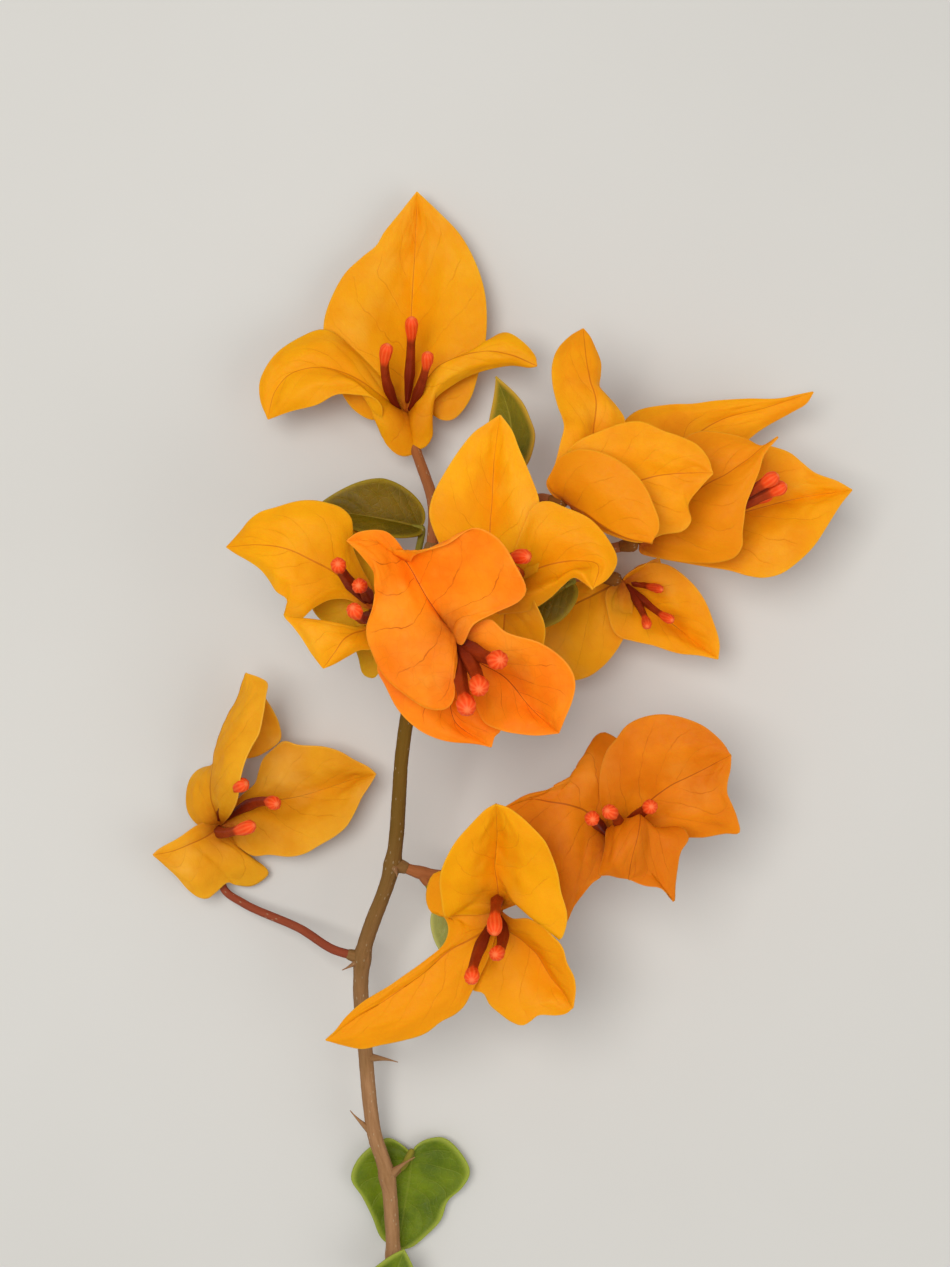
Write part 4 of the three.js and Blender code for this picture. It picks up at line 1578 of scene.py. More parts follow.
BLOOMS = (
    Bloom("bloom_top", (-15.4, 53, 5.9), (0.25, -0.93, 0.15), Tone.BRIGHT, Slot.GOLDEN, bracts=(
        Petal((
            (408, 395, -0.5), (410, 350, -3), (412, 300, -4.5), (415, 250, -3.5), (417, 192, -1)
        ), left=(
            (395, 414, 0), (387, 416, 0), (373, 420, 0), (356, 411, 0.5), (344, 396, 1), (333, 370, 1.2),
            (325, 340, 1.2), (325, 320, 1), (332, 298, 0.5), (346, 273, 0), (362, 258, -0.2),
            (377, 246, -0.3), (385, 232, -0.5), (402, 211, -0.8)
        ), right=(
            (425, 412, 0), (441, 420, 0.5), (453, 419, 0.5), (469, 400, 1), (478, 373, 1.5), (484, 345, 1.5),
            (486, 318, 1), (484, 291, 0.5), (474, 261, 0), (459, 234, -0.5), (437, 211, -0.8)
        )),
        Petal((
            (385, 400, 2), (355, 378, 4), (320, 368, 5.5), (290, 375, 5.5), (275, 392, 5), (268, 419, 4)
        ), left=(
            (412, 420, 1.5), (418, 446, 1), (412, 454, 1.5), (399, 455, 2), (384, 441, 2.5), (381, 424, 3.5),
            (382, 408, 5), (375, 398, 6), (356, 394, 6.5), (336, 394, 6.8), (317, 404, 6.5), (290, 411, 5.5)
        ), right=(
            (395, 395, 0), (375, 370, 0.5), (350, 345, 1.5), (325, 331, 2.5), (301, 337, 3.5), (280, 351, 4),
            (266, 369, 4.3), (260, 384, 4.3), (261, 402, 4.2)
        )),
        Petal((
            (414, 404, 2), (426, 382, 4), (441, 365, 5.5), (465, 355, 6.5), (488, 351, 7), (512, 355, 7.5),
            (537, 366, 8)
        ), left=(
            (425, 395, 1), (450, 375, 2), (470, 360, 3), (484, 351, 4), (494, 337, 5), (506, 333, 6),
            (523, 343, 7), (535, 357, 7.7)
        ), right=(
            (416, 448, 1.5), (426, 446, 2), (433, 435, 2.5), (433, 419, 3), (434, 400, 4), (457, 382, 4.5),
            (484, 370, 5), (512, 365, 6), (530, 367, 7.5)
        )),
    ), flowers=(
        Flower(0, (1.2, 14.9, 8), 0.72, 4.6), Flower(1, (-2.5, 10.3, 10), 0.72, 4.2),
        Flower(2, (3.9, 9, 10), 0.68, 4),
    )),
    Bloom("bloom_left", (-19.8, 20.4, 32), (0.5, -0.2, -0.8), Tone.BRIGHT, Slot.GOLDEN, bracts=(
        Petal((
            (353, 589, 0.5), (335, 573, 1.5), (313, 561, 2.5), (287, 549, 3), (260, 545, 1.5), (227, 547, -2)
        ), left=(
            (367, 608, 0), (349, 599, 0.5), (337, 598, 1), (327, 600, 1.5), (313, 608, 2), (300, 619, 2),
            (284, 616, 2), (288, 604, 2.5), (287, 598, 2.5), (277, 591, 2.5), (269, 579, 2), (261, 569, 1.5),
            (250, 561, 0.5), (236, 553, -1)
        ), right=(
            (372, 590, -1), (362, 570, -1), (352, 545, 0), (352, 530, 0.5), (350, 518, 1), (340, 508, 1.5),
            (329, 504, 2), (316, 501, 2), (303, 501, 2), (292, 503, 2), (276, 508, 1.5), (260, 513, 1),
            (249, 521, 0.5), (240, 532, -0.5)
        )),
        Petal((
            (368, 628, 3.5), (352, 634, 6), (343, 640, 7), (335, 652, 7), (323, 668, 6.3)
        ), left=(
            (374, 640, 3), (371, 649, 4.5), (359, 650, 5.8), (347, 656, 6), (333, 664, 6.2)
        ), right=(
            (372, 618, 1.5), (366, 630, 3.8), (350, 630, 5.5), (330, 625, 6), (313, 621, 6.3),
            (300, 619, 6.4), (285, 616, 6.5), (292, 625, 7), (303, 639, 7), (313, 655, 6.7)
        )),
        Petal((
            (368, 590, -4), (362, 570, -6), (352, 550, -8), (340, 535, -9)
        ), left=(
            (378, 640, -3), (382, 662, -4.5), (375, 677, -5), (364, 674, -5), (358, 655, -5),
            (348, 634, -4.5), (333, 625, -4.5), (321, 619, -5), (312, 606, -5.5), (315, 585, -6.5),
            (325, 560, -8)
        ), right=(
            (385, 600, -3), (388, 575, -5), (380, 550, -7), (365, 532, -8.5), (350, 526, -9)
        ), green=0.6),
    ), flowers=(
        Flower(0, (-4.5, 6.5, 11)), Flower(1, (-2.2, 0, 14)), Flower(2, (-1.4, 3.2, 12)),
    )),
    Bloom("bloom_centre", (1, 23.5, 32), (-0.75, -0.25, -0.6), Tone.BRIGHT, Slot.GOLDEN, bracts=(
        Petal((
            (490, 560, -1.5), (490, 530, -2), (492, 503, -1.8), (494, 462, -0.5), (500, 415, 2)
        ), left=(
            (478, 590, -1), (450, 560, 0), (434, 530, 1), (430, 513, 1.5), (434, 495, 1.5), (446, 472, 1.5),
            (460, 450, 1.5), (475, 432, 1.5), (488, 423, 1.8)
        ), right=(
            (530, 585, -1), (540, 554, 0.5), (540, 532, 1), (539, 517, 1.5), (538, 498, 1.5), (530, 476, 1.5),
            (518, 448, 1.5), (511, 430, 1.8)
        )),
        Petal((
            (525, 575, -1), (545, 566, 0), (575, 561, 2), (598, 566, 4.5), (593, 589, 6)
        ), left=(
            (510, 565, 0), (520, 535, 1), (535, 505, 2), (549, 502, 2), (562, 507, 2), (590, 520, 2.5),
            (611, 545, 3.5), (617, 562, 4), (607, 580, 5)
        ), right=(
            (497, 612, -1), (515, 612, -0.5), (530, 609, 0), (550, 598, 1), (562, 586, 3), (575, 577, 5),
            (584, 582, 5.7)
        ), bulge=(0.12, 0.3), peak=(0.5, 0.7), deep=0.4),
        Blade((-1, -16, -16), (0, 0.5, 0.8), (7, 7), (0, 0, 2)),
    ), flowers=(
        Flower(0, (3.1, 4.4, 11)), Flower(1, (-0.6, 2.1, 11)), Flower(2, (0, 1, 10)),
    )),
    Bloom("bloom_front", (-7.6, 16.7, 42), (-0.3, 0.3, -0.9), Tone.FIERY, Slot.ORANGE, bracts=(
        Petal((
            (425, 595, -0.2), (409, 566, -0.2), (395, 550, 2), (372, 541, 4.2), (347, 540, 5.5)
        ), left=(
            (458, 657, 3), (456, 674, 4), (455, 698, 4), (447, 708, 3.5), (428, 708, 2.5), (404, 693, 1.5),
            (386, 677, 1), (374, 656, 0.5), (367, 634, 1), (373, 610, 2.5), (375, 592, 3.5), (375, 574, 4),
            (361, 554, 5)
        ), right=(
            (461, 646, 2.5), (473, 625, 3.5), (494, 614, 3.5), (519, 602, 4), (526, 591, 4.5), (515, 566, 6),
            (497, 539, 7), (473, 528, 7), (446, 545, 6), (415, 555, 3.5), (409, 563, 1.5), (402, 549, 2.5),
            (385, 532, 4), (358, 533, 5.5)
        ), bulge=(0.12, 0.05)),
        Petal((
            (480, 662, -3), (505, 677, -3.5), (532, 709, -1.5), (559, 733, 2)
        ), left=(
            (470, 628, 0.5), (489, 620, 1), (505, 632, 1), (540, 644, 2.5), (567, 664, 3.5), (575, 684, 3.5),
            (564, 720, 3)
        ), right=(
            (470, 665, -3), (475, 700, -3), (485, 722, -1.5), (502, 730, 0), (518, 733, 0.5), (537, 735, 1)
        )),
        Petal((
            (455, 665, -3), (450, 700, -5), (455, 722, -5), (478, 739, -4.5), (491, 747, -4)
        ), left=(
            (475, 690, -4), (490, 715, -4), (500, 730, -4), (494, 737, -4)
        ), right=(
            (430, 650, -3), (385, 650, -3), (378, 669, -2.5), (385, 684, -2.5), (399, 710, -2.5),
            (420, 730, -3), (436, 738, -3.5), (452, 742, -4), (478, 744, -4.3)
        )),
    ), flowers=(
        Flower(1, (7.4, -4, 11), 1.0), Flower(1, (4.3, -8.3, 11), 1.0), Flower(2, (2.6, -11.3, 11), 1.0),
    )),
    Bloom("bloom_upper", (10.6, 37, 28), (-0.8, 0.1, -0.5), Tone.AMBER, Slot.ORANGE, bracts=(
        Petal((
            (590, 470, 1), (593, 433, 0), (596, 400, -1), (590, 380, -2), (585, 350, -4), (583, 329, -6)
        ), left=(
            (555, 497, 1), (547, 484, 1), (555, 466, 2), (562, 440, 2), (565, 427, 2), (558, 405, -1),
            (553, 383, -3), (553, 365, -4), (559, 349, -5), (571, 336, -5.5)
        ), right=(
            (600, 480, 0), (622, 440, -2), (624, 420, -2), (616, 407, -2), (605, 394, -2.5), (599, 387, -3),
            (600, 374, -4), (600, 363, -4.5), (595, 349, -5), (589, 336, -5.5)
        )),
        Petal((
            (600, 490, 1), (641, 480, 1.5), (661, 475, 2), (688, 473, 3), (713, 473, 4)
        ), left=(
            (555, 480, 1), (565, 455, 2), (578, 442, 3), (600, 432, 3), (622, 424, 3), (640, 422, 3),
            (665, 432, 3.5), (680, 437, 3.5), (698, 446, 3.7), (709, 460, 4)
        ), right=(
            (575, 515, 0), (600, 530, 0), (640, 542, 0.5), (662, 534, 1), (683, 530, 1.5), (691, 520, 2),
            (688, 504, 2.5), (700, 487, 3.5)
        )),
        Petal((
            (560, 496, 1), (571, 505, 2.5), (586, 513, 4), (600, 524, 5), (614, 532, 6), (629, 538, 7),
            (652, 543, 8)
        ), left=(
            (556, 495, 1), (548, 484, 2), (551, 474, 2.5), (560, 458, 3.5), (576, 450, 5), (589, 450, 6),
            (607, 455, 7), (622, 463, 7.5), (636, 475, 8), (647, 490, 8.3), (654, 506, 8.4), (659, 520, 8.4),
            (659, 531, 8.2)
        ), right=(
            (575, 505, -1), (590, 508, -2), (610, 522, -1), (630, 532, 2), (645, 538, 6)
        ), deep=0.5),
    ), flowers=(
        Flower(1, (8, 2, 5)),
    )),
    Bloom("bloom_right", (22.5, 31, 18), (-0.95, -0.15, -0.3), Tone.AMBER, Slot.ORANGE, bracts=(
        Petal((
            (650, 535, 0), (683, 504, 2.5), (692, 495, 3), (707, 484, 4), (725, 475, 5), (743, 463, 6),
            (762, 448, 7.5), (778, 437, 8.5)
        ), left=(
            (640, 510, 0), (655, 470, 0.5), (675, 445, 1), (700, 432, 2), (725, 434, 3.5), (748, 440, 5.5),
            (763, 447, 7.3)
        ), right=(
            (645, 550, -1), (665, 558, 0), (690, 562, 1), (715, 562, 2.5), (735, 556, 4), (742, 545, 5),
            (742, 533, 5.5), (744, 518, 6), (746, 504, 6.5), (752, 488, 7), (759, 470, 7.5), (764, 454, 8)
        ), deep=0.8),
        Petal((
            (680, 535, -3), (720, 520, -4), (760, 508, -4.5), (800, 498, -4), (852, 490, -2)
        ), left=(
            (670, 500, -4), (700, 470, -4), (740, 450, -2), (765, 446, -1), (779, 449, -1), (791, 454, -1),
            (802, 463, -1), (815, 473, -1), (838, 482, -1.5)
        ), right=(
            (640, 552, -1.5), (661, 558, -2), (683, 562, -2), (705, 566, -2), (730, 570, -1.5),
            (748, 575, -1), (763, 577, -0.5), (781, 573, 0), (797, 562, 0), (813, 546, -0.2),
            (828, 524, -0.8), (842, 502, -1.5)
        )),
        Petal((
            (650, 500, -3), (680, 450, -6), (720, 420, -8), (770, 406, -8), (813, 392, -8)
        ), left=(
            (620, 520, -2), (612, 470, -4), (620, 430, -5), (636, 412, -6), (669, 405, -6.5),
            (694, 404, -6.5), (716, 401, -7), (750, 399, -7.5), (777, 399, -7.5), (799, 395, -8)
        ), right=(
            (665, 520, -5), (700, 480, -8), (735, 450, -9), (748, 439, -9), (757, 432, -9), (771, 423, -9),
            (791, 412, -8.5), (806, 403, -8.2)
        )),
    ), flowers=(
        Flower(1, (21.2, 10.4, 8), 0.85, 2.8), Flower(1, (22.8, 9, 6), 0.85, 2.8),
        Flower(1, (21, 8, 3), 0.8, 2.8),
    )),
    Bloom("bloom_lower_right", (20.4, 25.3, 10.2), (-0.95, 0.1, -0.2), Tone.BRONZE, Slot.ORANGE, bracts=(
        Petal((
            (640, 600, -2), (665, 618, -3), (690, 638, -2), (718, 659, 0)
        ), left=(
            (640, 565, 0), (665, 565, 1), (690, 582, 1.5), (705, 603, 1.5), (714, 625, 1.2), (719, 645, 0.5)
        ), right=(
            (607, 590, 0), (608, 612, 0.5), (617, 634, 1), (635, 641, 1), (655, 645, 1), (680, 653, 0.8),
            (700, 655, 0.3)
        )),
        Petal((
            (600, 592, -1), (570, 607, -2.5), (545, 622, -4), (515, 650, -5)
        ), left=(
            (632, 600, 0), (630, 622, 0), (621, 642, -0.5), (610, 658, -1), (600, 668, -1.5), (588, 676, -2),
            (570, 680, -3), (545, 675, -4)
        ), right=(
            (605, 575, -2), (580, 580, -3), (550, 592, -4), (525, 612, -5), (512, 632, -5)
        )),
        Blade((5.4, -1, -10), (-0.5, 0.5, 0.5), (6, 6)),
    ), flowers=(
        Flower(0, (7.6, -6.7, 6), 0.55), Flower(0, (3.4, -7.7, 7), 0.55), Flower(2, (6, -1.7, 5), 0.5),
    )),
    Bloom("bloom_far_left", (-46.3, -15.6, 2.95), (0.15, -0.95, -0.2), Tone.PALE, Slot.GOLDEN, bracts=(
        Petal((
            (212, 800, 4), (212, 770, 7), (216, 745, 8), (226, 720, 9), (238, 697, 9.5), (246, 673, 10)
        ), left=(
            (200, 826, 1), (188, 812, 1), (188, 786, 1.5), (199, 770, 2), (225, 762, 2), (249, 758, 2.5),
            (262, 754, 3), (281, 740, 4), (280, 725, 5), (274, 711, 6.5), (266, 698, 8), (255, 683, 9.5)
        ), right=(
            (232, 812, 6), (238, 796, 10), (241, 778, 12), (245, 761, 13), (251, 747, 13.5), (259, 733, 14),
            (263, 717, 14), (266, 696, 13), (267, 683, 12), (258, 677, 11)
        )),
        Petal((
            (243, 803, -1), (285, 799, -1.5), (308, 794, -1), (333, 786, 0), (357, 778, 2), (376, 774, 4)
        ), left=(
            (238, 800, 0), (255, 784, 1), (258, 774, 1.5), (263, 760, 2), (272, 751, 2.5), (284, 742, 3),
            (298, 745, 3.5), (325, 748, 4), (341, 753, 4), (354, 760, 4), (369, 768, 4)
        ), right=(
            (228, 838, 0), (237, 845, 0.5), (253, 855, 1), (269, 854, 2), (290, 856, 2.5), (305, 853, 3),
            (318, 845, 3.5), (338, 833, 4), (347, 825, 4), (356, 809, 4), (362, 796, 4), (370, 784, 4)
        )),
        Petal((
            (207, 836, 1.5), (190, 844, 3.5), (172, 851, 5), (153, 855, 6)
        ), left=(
            (238, 843, 0), (252, 857, -0.5), (268, 872, -1), (260, 881, -1), (250, 886, -1), (237, 885, -0.5),
            (227, 882, 1), (215, 892, 2), (207, 898, 2.5), (198, 897, 3), (188, 890, 3.5), (176, 876, 4.5),
            (163, 864, 5.5)
        ), right=(
            (215, 821, 0.5), (199, 825, 2), (178, 839, 4.5), (160, 849, 5.7)
        )),
    ), flowers=(
        Flower(0, (5.4, 7.8, 12)), Flower(1, (10.3, 4.4, 12)), Flower(2, (6.7, 1.1, 12)),
    )),
    Bloom("bloom_low", (0, -27, 26), (-0.45, 0.2, -0.85), Tone.BRIGHT, Slot.GOLDEN, bracts=(
        Petal((
            (497, 880, 0.5), (495, 869, 1), (496, 850, 3), (497, 834, 5.5), (496, 804, 11)
        ), left=(
            (480, 915, 1), (455, 915, 2), (446, 917, 3), (442, 896, 5), (441, 878, 6.5), (444, 864, 7.5),
            (454, 845, 8.5), (470, 827, 9.5), (486, 810, 10.5)
        ), right=(
            (512, 906, 1), (526, 902, 2), (541, 904, 3), (542, 916, 4), (548, 926, 4.5), (559, 940, 4.5),
            (565, 928, 5), (566, 914, 5.5), (560, 892, 6), (557, 873, 7), (551, 855, 8), (544, 841, 9),
            (532, 828, 9.5), (518, 815, 10), (506, 807, 10.6)
        )),
        Petal((
            (485, 930, 1), (469, 940, 2), (451, 949, 2.5), (426, 970, 3), (405, 986, 3), (382, 1002, 2.5),
            (355, 1018, 1.5), (326, 1040, 0)
        ), left=(
            (490, 950, 0), (480, 975, 0), (471, 992, 0.5), (463, 1006, 1), (454, 1014, 1), (440, 1021, 1.5),
            (426, 1032, 1.5), (405, 1040, 1.5), (382, 1044, 1), (361, 1048, 0.7), (343, 1045, 0.3)
        ), right=(
            (480, 895, -3), (455, 870, -3.5), (442, 871, -3), (433, 875, -3), (427, 890, -3),
            (427, 903, -2.5), (432, 913, -1.8), (444, 917, -0.5), (449, 930, 1.2), (444, 945, 2.6),
            (428, 959, 3.4), (408, 974, 3.7), (387, 988, 3.2), (364, 1002, 2.4), (346, 1018, 1.4),
            (335, 1032, 0.7)
        ), pace=(1, 0.45), deep=0.8),
        Petal((
            (507, 928, -1), (523, 940, -1.5), (537, 954, -1.5), (551, 977, 0), (564, 993, 1.5), (573, 1008, 3)
        ), left=(
            (512, 919, 1.5), (528, 920, 2.5), (543, 927, 3.5), (552, 937, 4), (562, 949, 4), (567, 963, 4),
            (573, 977, 4), (575, 990, 3.7)
        ), right=(
            (492, 940, -2), (480, 965, -2), (473, 989, -1.5), (484, 993, -1), (490, 1004, -0.5),
            (500, 1013, 0), (511, 1021, 0.5), (523, 1025, 1), (531, 1021, 1.3), (539, 1015, 1.5),
            (557, 1015, 2), (567, 1013, 2.5)
        ), deep=0.4),
    ), flowers=(
        Flower(0, (-1, -1.9, 13)), Flower(1, (-4.4, -9, 12)), Flower(2, (-0.9, -4.9, 13)),
    )),
    Bloom("bloom_low_right", (18, -16.5, 20), (-0.6, 0, -0.8), Tone.DEEP, Slot.ORANGE, bracts=(
        Petal((
            (635, 815, 0), (653, 798, 1), (673, 784, 2), (688, 777, 3), (706, 768, 4), (731, 755, 6)
        ), left=(
            (605, 820, 0), (600, 795, 1), (601, 770, 2), (608, 750, 3), (617, 739, 3.5), (626, 727, 4),
            (640, 719, 4), (658, 715, 4), (674, 716, 4.5), (689, 720, 5), (703, 726, 5), (714, 734, 5.3),
            (724, 744, 5.7)
        ), right=(
            (640, 835, 1), (665, 838, 2), (689, 837, 2), (703, 837, 2.5), (725, 833, 3), (739, 832, 3.5),
            (737, 818, 4), (733, 807, 4), (727, 794, 4.5), (727, 783, 5), (730, 769, 5.5)
        )),
        Petal((
            (587, 812, 1), (569, 805, 2), (550, 802, 1.5), (530, 799, 0), (506, 807, -2)
        ), left=(
            (605, 860, 0), (601, 876, 0.5), (593, 882, 0.5), (584, 893, 0.5), (575, 905, 0), (566, 923, -0.5),
            (555, 930, -1), (545, 915, -1.5), (530, 880, -2), (515, 840, -2.5), (507, 820, -2.3)
        ), right=(
            (625, 800, -3), (625, 760, -4), (617, 740, -3), (611, 736, -3), (603, 733, -3), (594, 738, -3),
            (588, 751, -2.5), (589, 762, -2), (590, 768, -1), (581, 772, 0.5), (572, 778, 1), (560, 787, 1.5),
            (545, 791, 1.3), (527, 795, 0), (516, 801, -1)
        )),
        # This bract's deep paints the shade inside its curled hollow.
        Petal((
            (628, 828, 4), (640, 815, 9), (638, 835, 11.5), (632, 858, 11), (628, 879, 9.5)
        ), left=(
            (650, 832, 3), (681, 827, 7), (688, 838, 8), (680, 852, 8.5), (677, 869, 8), (675, 885, 7.5),
            (673, 902, 7), (666, 894, 7.5), (659, 888, 8), (645, 886, 8.8), (636, 883, 9.2)
        ), right=(
            (612, 832, 2), (608, 829, 5), (606, 840, 7.5), (605, 848, 8.5), (603, 862, 9), (600, 875, 9),
            (611, 876, 9.2), (620, 878, 9.4)
        ), bulge=(-0.12, 0.12), deep=0.55),
    ), flowers=(
        Flower(0, (5.2, 6.4, 13)), Flower(1, (-3.8, 4.4, 13)), Flower(2, (-1.8, 6, 15)),
    )),
)

LIMBS = (
    Limb(
        "main_stem", bark=Bark.STEM, slot=Slot.STEM,
        radii=(1.2, 1.2, 1.2, 1.22, 1.2, 1.28, 1.2, 1.12, 1.1, 1.05, 1.0),
        through=(
            CUT_END, (-17.5, -88, 3.6), (-18.5, -74, 5.6), (-20.6, -66.5, 6.6), (-21.9, -53.5, 8.4),
            (-22.3, -36.6, 12), (-17.2, -20.6, 17), (-15.4, -2, 22), (-12.8, 14, 25), (-11.4, 21.5, 25.2),
            (-10.8, 28.5, 24.6)),
        thorns=(
            Thorn(3, (-0.8, 0.7, 0.25), 4.6), Thorn(2, (0.75, 0.75, 0.3), 5),
            Thorn(4, (0.95, 0.05, 0.4), 4.6), Thorn(5, (-0.8, -0.5, 0.4), 2.6),
            Thorn(6, (0.35, -0.5, 0.9), 2.4))),
    Limb(
        "stalk_far_left", Shoot("main_stem", 5, (-0.95, 0.3, 0.05)), "bloom_far_left",
        ((-33, -32.2, 8), (-42.5, -28.6, 4.4), (-46.2, -26, 2.6)), (0.75, 0.6), Bark.RED),
    Limb(
        "branch_right", Shoot("main_stem", 6, (0.92, -0.3, -0.1)), "bloom_low_right",
        ((-8.5, -22.6, 15.5), (-1, -22.5, 14.5), (8, -18.5, 13.5)), (0.85, 0.75)),
    Limb("stalk_low", Shoot("branch_right", 3, (0.1, -0.45, 0.9)), "bloom_low"),
    Limb("stalk_left", Shoot("main_stem", 8, (-0.75, 0.55, 0.1)), "bloom_left"),
    Limb("stalk_front", Shoot("main_stem", 8, (0.15, -0.1, 1)), "bloom_front"),
    Limb("stalk_centre", Shoot("main_stem", 9, (0.8, -0.1, 0.35)), "bloom_centre"),
    Limb(
        "stalk_top", Shoot("main_stem", 10, (0.08, 1, -0.1)), "bloom_top", ((-10.9, 38.5, 17),),
        (0.95, 0.85)),
    Limb(
        "branch_upper_right", Shoot("main_stem", 9, (0.6, 0.35, -0.7)), "bloom_right",
        ((-4.5, 25.8, 20), (3.5, 29.6, 18.4), (10, 31.2, 17.2)), (1.0, 0.85)),
    Limb("stalk_upper", Shoot("branch_upper_right", 2, (0.35, 0.8, 0.5)), "bloom_upper"),
    Limb("stalk_lower_right", Shoot("branch_upper_right", 3, (0.35, -0.75, -0.55)), "bloom_lower_right"),
)

LEAVES = (
    Leaf(
        "leaf_bottom", Shoot("main_stem", 2, (0.8, 0.5, -0.35)), Green.FRESH,
        Petal((
            (410, 1175, -0.9), (405, 1205, -1.5), (398, 1250, -1.6)
        ), left=(
            (417, 1144, -1), (430, 1138, -0.9), (444, 1138, -0.6), (460, 1153, -0.2), (469, 1172, 0),
            (462, 1187, -0.2), (447, 1201, -0.6), (440, 1220, -0.8), (426, 1235, -1), (411, 1247, -1.3)
        ), right=(
            (402, 1144, -1), (389, 1138, -0.9), (371, 1147, -0.6), (357, 1162, -0.2), (352, 1179, 0),
            (363, 1197, -0.4), (373, 1217, -0.8), (382, 1238, -1.2)
        ), bulge=(-0.06, -0.06), base=(-14.6, -70.8, 2.8))),
    Leaf(
        "leaf_end", Shoot("main_stem", 1, (-0.35, -0.25, 0.9)), Green.FRESH,
        LeafBlade((-15.6, -85.2, 8.2), (0.1, -0.1, 1), (4.2, 4.2), (0, 0, 0.8), (-18.6, -93.6, 7.4))),
    Leaf(
        "leaf_pale", Shoot("branch_right", 1, (0.45, -0.85, -0.2)), Green.PALE,
        LeafBlade((-2.6, -39.4, 13), (0, 0, 1), (3.7, 3.7), (0, 0, 0.6), (-9.5, -28.2, 14))),
    Leaf(
        "leaf_olive", Shoot("main_stem", 9, (-0.75, 0.6, -0.4)), Green.OLIVE,
        LeafBlade((-30, 36.2, 20), (0, 0.1, 1), (5, 6.4), (0, 0.5, 1), (-12.8, 33.4, 19.8), fold=(45, 8))),
    Leaf(
        "leaf_behind", Shoot("branch_upper_right", 1, (0.2, 0.9, -0.2)), Green.MIXED,
        LeafBlade((-0.6, 57.4, 21), (-0.6, 0, 0.8), (4.4, 5.2), (2.2, 0, -0.6), (1.2, 42.4, 18.5))),
    Leaf(
        "leaf_dark", Shoot("branch_upper_right", 3, (0.55, -0.75, 0.35)), Green.OLIVE,
        LeafBlade((1, 17, 19.5), (0, 0, 1), (4, 5.6), (0, 0, 0.8), (11.4, 24.6, 20))),
)


@dataclass(frozen=True)
class Branch:
    """The whole branch: its limbs, its blooms and its leaves."""

    limbs: tuple[Limb, ...] = LIMBS
    blooms: tuple[Bloom, ...] = BLOOMS
    leaves: tuple[Leaf, ...] = LEAVES

    limb_seed = 50
    leaf_seed = 500
    bloom_seeds = 1000

    def build(self, drawing: Drawing) -> None:
        """Makes every limb, bloom and leaf.

        Args:
            drawing: The way into the frame.
        """
        blooms = {bloom.name: bloom for bloom in self.blooms}
        lines: Lines = {}
        for limb in self.limbs:
            lines[limb.name] = limb.line(lines, blooms)
        shoots = [(limb.shoot, limb.radii[0]) for limb in self.limbs if limb.shoot]
        shoots += [(leaf.shoot, leaf.petiole_radii[0]) for leaf in self.leaves]
        for k, limb in enumerate(self.limbs):
            own = [pair for pair in shoots if pair[0].parent == limb.name]
            limb.build(drawing, lines, own, self.limb_seed + k)
        for k, bloom in enumerate(self.blooms):
            bloom.build(drawing, self.bloom_seeds * (k + 1))
        for k, leaf in enumerate(self.leaves):
            leaf.build(drawing, lines, self.leaf_seed + k)


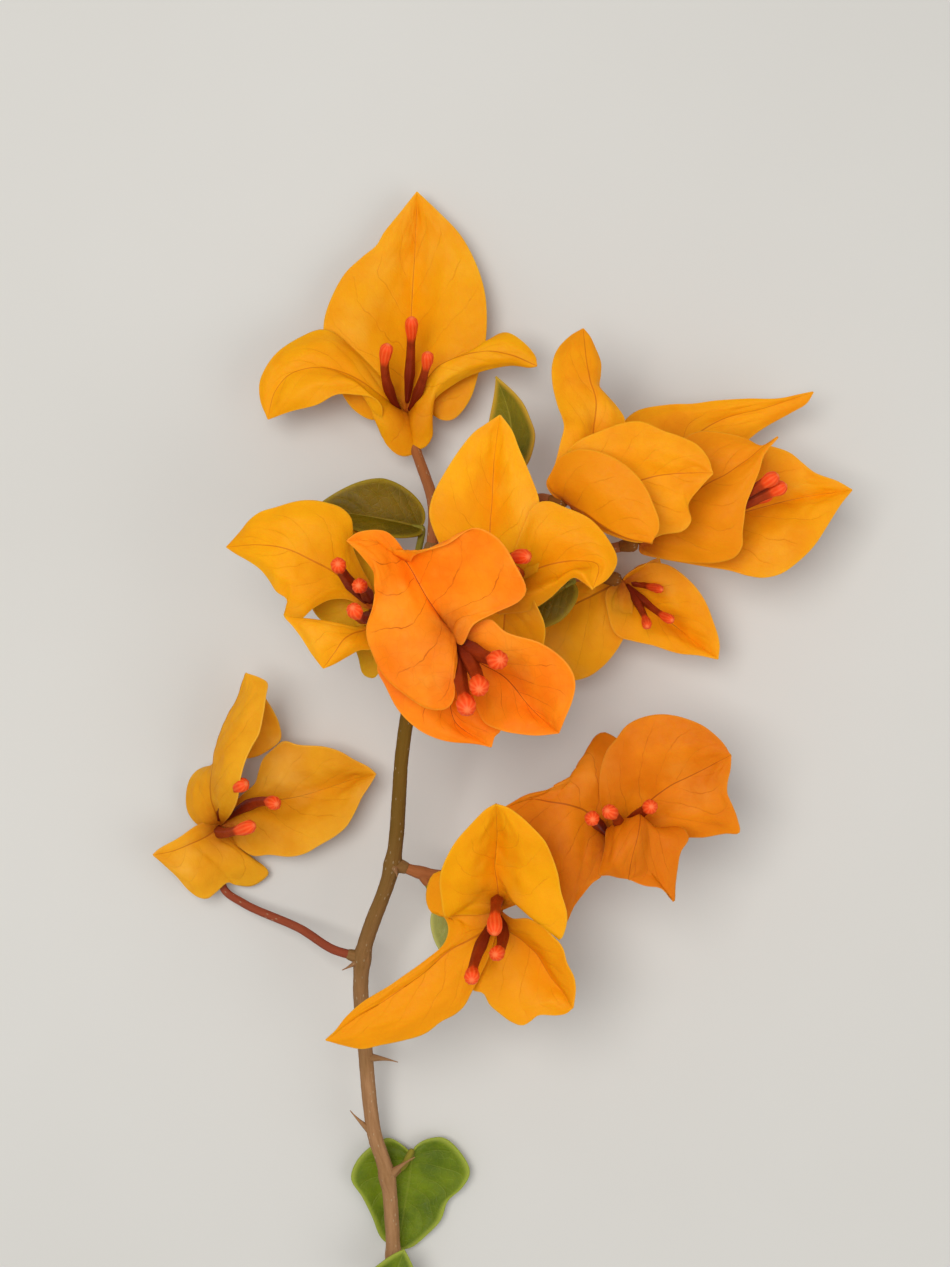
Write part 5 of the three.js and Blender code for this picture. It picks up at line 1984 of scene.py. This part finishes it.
@dataclass(frozen=True)
class Studio:
    """The pale floor, the soft lights and the camera over the branch.

    Lengths are millimetres of the drawing, powers are watts, and the scales are numbers of waves in
    a metre.
    """

    floor_side: float = 1600.0
    floor_cells: int = 8
    floor_light: str = "#d0cdc6"
    floor_dark: str = "#c8c4bc"
    sky: str = "#eef1f5"
    sky_strength: float = 0.48
    key_at: Triple = (-130.0, 70.0, 560.0)
    key_side: float = 300.0
    key_power: float = 2.2
    fill_at: Triple = (380.0, -160.0, 420.0)
    fill_side: float = 420.0
    fill_power: float = 0.8
    aim: Triple = (-3.9, 10.0, 20.0)

    cloud_scale = 9.0
    grain_scale = 900.0
    floor_relief = 0.00005

    def floor(self) -> None:
        """Makes the floor, a flat grid at the frame's own ground."""
        across = np.linspace(-0.5, 0.5, self.floor_cells + 1) * self.floor_side * MILLIMETRE
        x, y = np.meshgrid(across, across, indexing="xy")
        points = np.stack([x, y, np.zeros_like(x)], -1).reshape(-1, 3)
        mesh = bpy.data.meshes.new("floor")
        mesh.from_pydata(points.tolist(), [], grid_quads(len(across), len(across)).tolist())
        mesh.update()
        bench = Bench("floor_paint")
        clouds = bench.noise(bench.place(), self.cloud_scale, 4.0)
        grain = bench.noise(bench.place(), self.grain_scale, 2.0)
        mesh.materials.append(bench.dress(
            Base_Color=bench.mix(self.floor_light, self.floor_dark, clouds),
            Roughness=0.75,
            Normal=bench.bump(grain, self.floor_relief, 0.15),
        ))
        item = bpy.data.objects.new("floor", mesh)
        bpy.context.scene.collection.objects.link(item)

    def lamp(self, drawing: Drawing, name: str, at: Triple, side: float, power: float) -> None:
        """Makes a square soft light that points at the middle of the branch.

        Args:
            drawing: The way into the frame.
            name: The light's name.
            at: Its place in the drawing.
            side: Its side in millimetres.
            power: Its power in watts.
        """
        light = bpy.data.lights.new(name, "AREA")
        light.size = side * MILLIMETRE
        light.energy = power
        item = bpy.data.objects.new(name, light)
        place = drawing.place(at)
        way = drawing.place(self.aim) - place
        item.location = place
        item.rotation_mode = "QUATERNION"
        item.rotation_quaternion = Vector(way).to_track_quat("-Z", "Y")
        bpy.context.scene.collection.objects.link(item)

    def camera(self, drawing: Drawing) -> None:
        """Makes the camera, which looks straight down, and fills its frame as the photograph does.

        Args:
            drawing: The way into the frame.
        """
        data = bpy.data.cameras.new("camera")
        data.sensor_width = SENSOR
        data.lens = SENSOR * (EYE[2] - BLOOM_HEIGHT) / (PHOTO_HEIGHT * PIXEL_AT_BLOOMS)
        data.clip_start, data.clip_end = 0.01, 10.0
        item = bpy.data.objects.new("camera", data)
        item.location = drawing.place(EYE)
        bpy.context.scene.collection.objects.link(item)
        bpy.context.scene.camera = item

    def build(self, drawing: Drawing) -> None:
        """Makes the floor, the sky, the lights and the camera.

        Args:
            drawing: The way into the frame.
        """
        self.floor()
        world = bpy.data.worlds.new("sky")
        world.use_nodes = True
        background = world.node_tree.nodes["Background"]
        background.inputs["Color"].default_value = (*linear(self.sky), 1.0)
        background.inputs["Strength"].default_value = self.sky_strength
        bpy.context.scene.world = world
        self.lamp(drawing, "key_light", self.key_at, self.key_side, self.key_power)
        self.lamp(drawing, "fill_light", self.fill_at, self.fill_side, self.fill_power)
        self.camera(drawing)
        bpy.context.scene.view_settings.view_transform = "Standard"


def main() -> None:
    """Builds the branch and its studio in order."""
    logging.basicConfig(level=logging.INFO, format="%(message)s")
    finishes = (*Tone, *Green, *Bark, *FlowerTone)
    drawing = Drawing({finish: finish.value.material() for finish in finishes})
    Branch().build(drawing)
    Studio().build(drawing)


if __name__ == "__main__":
    main()
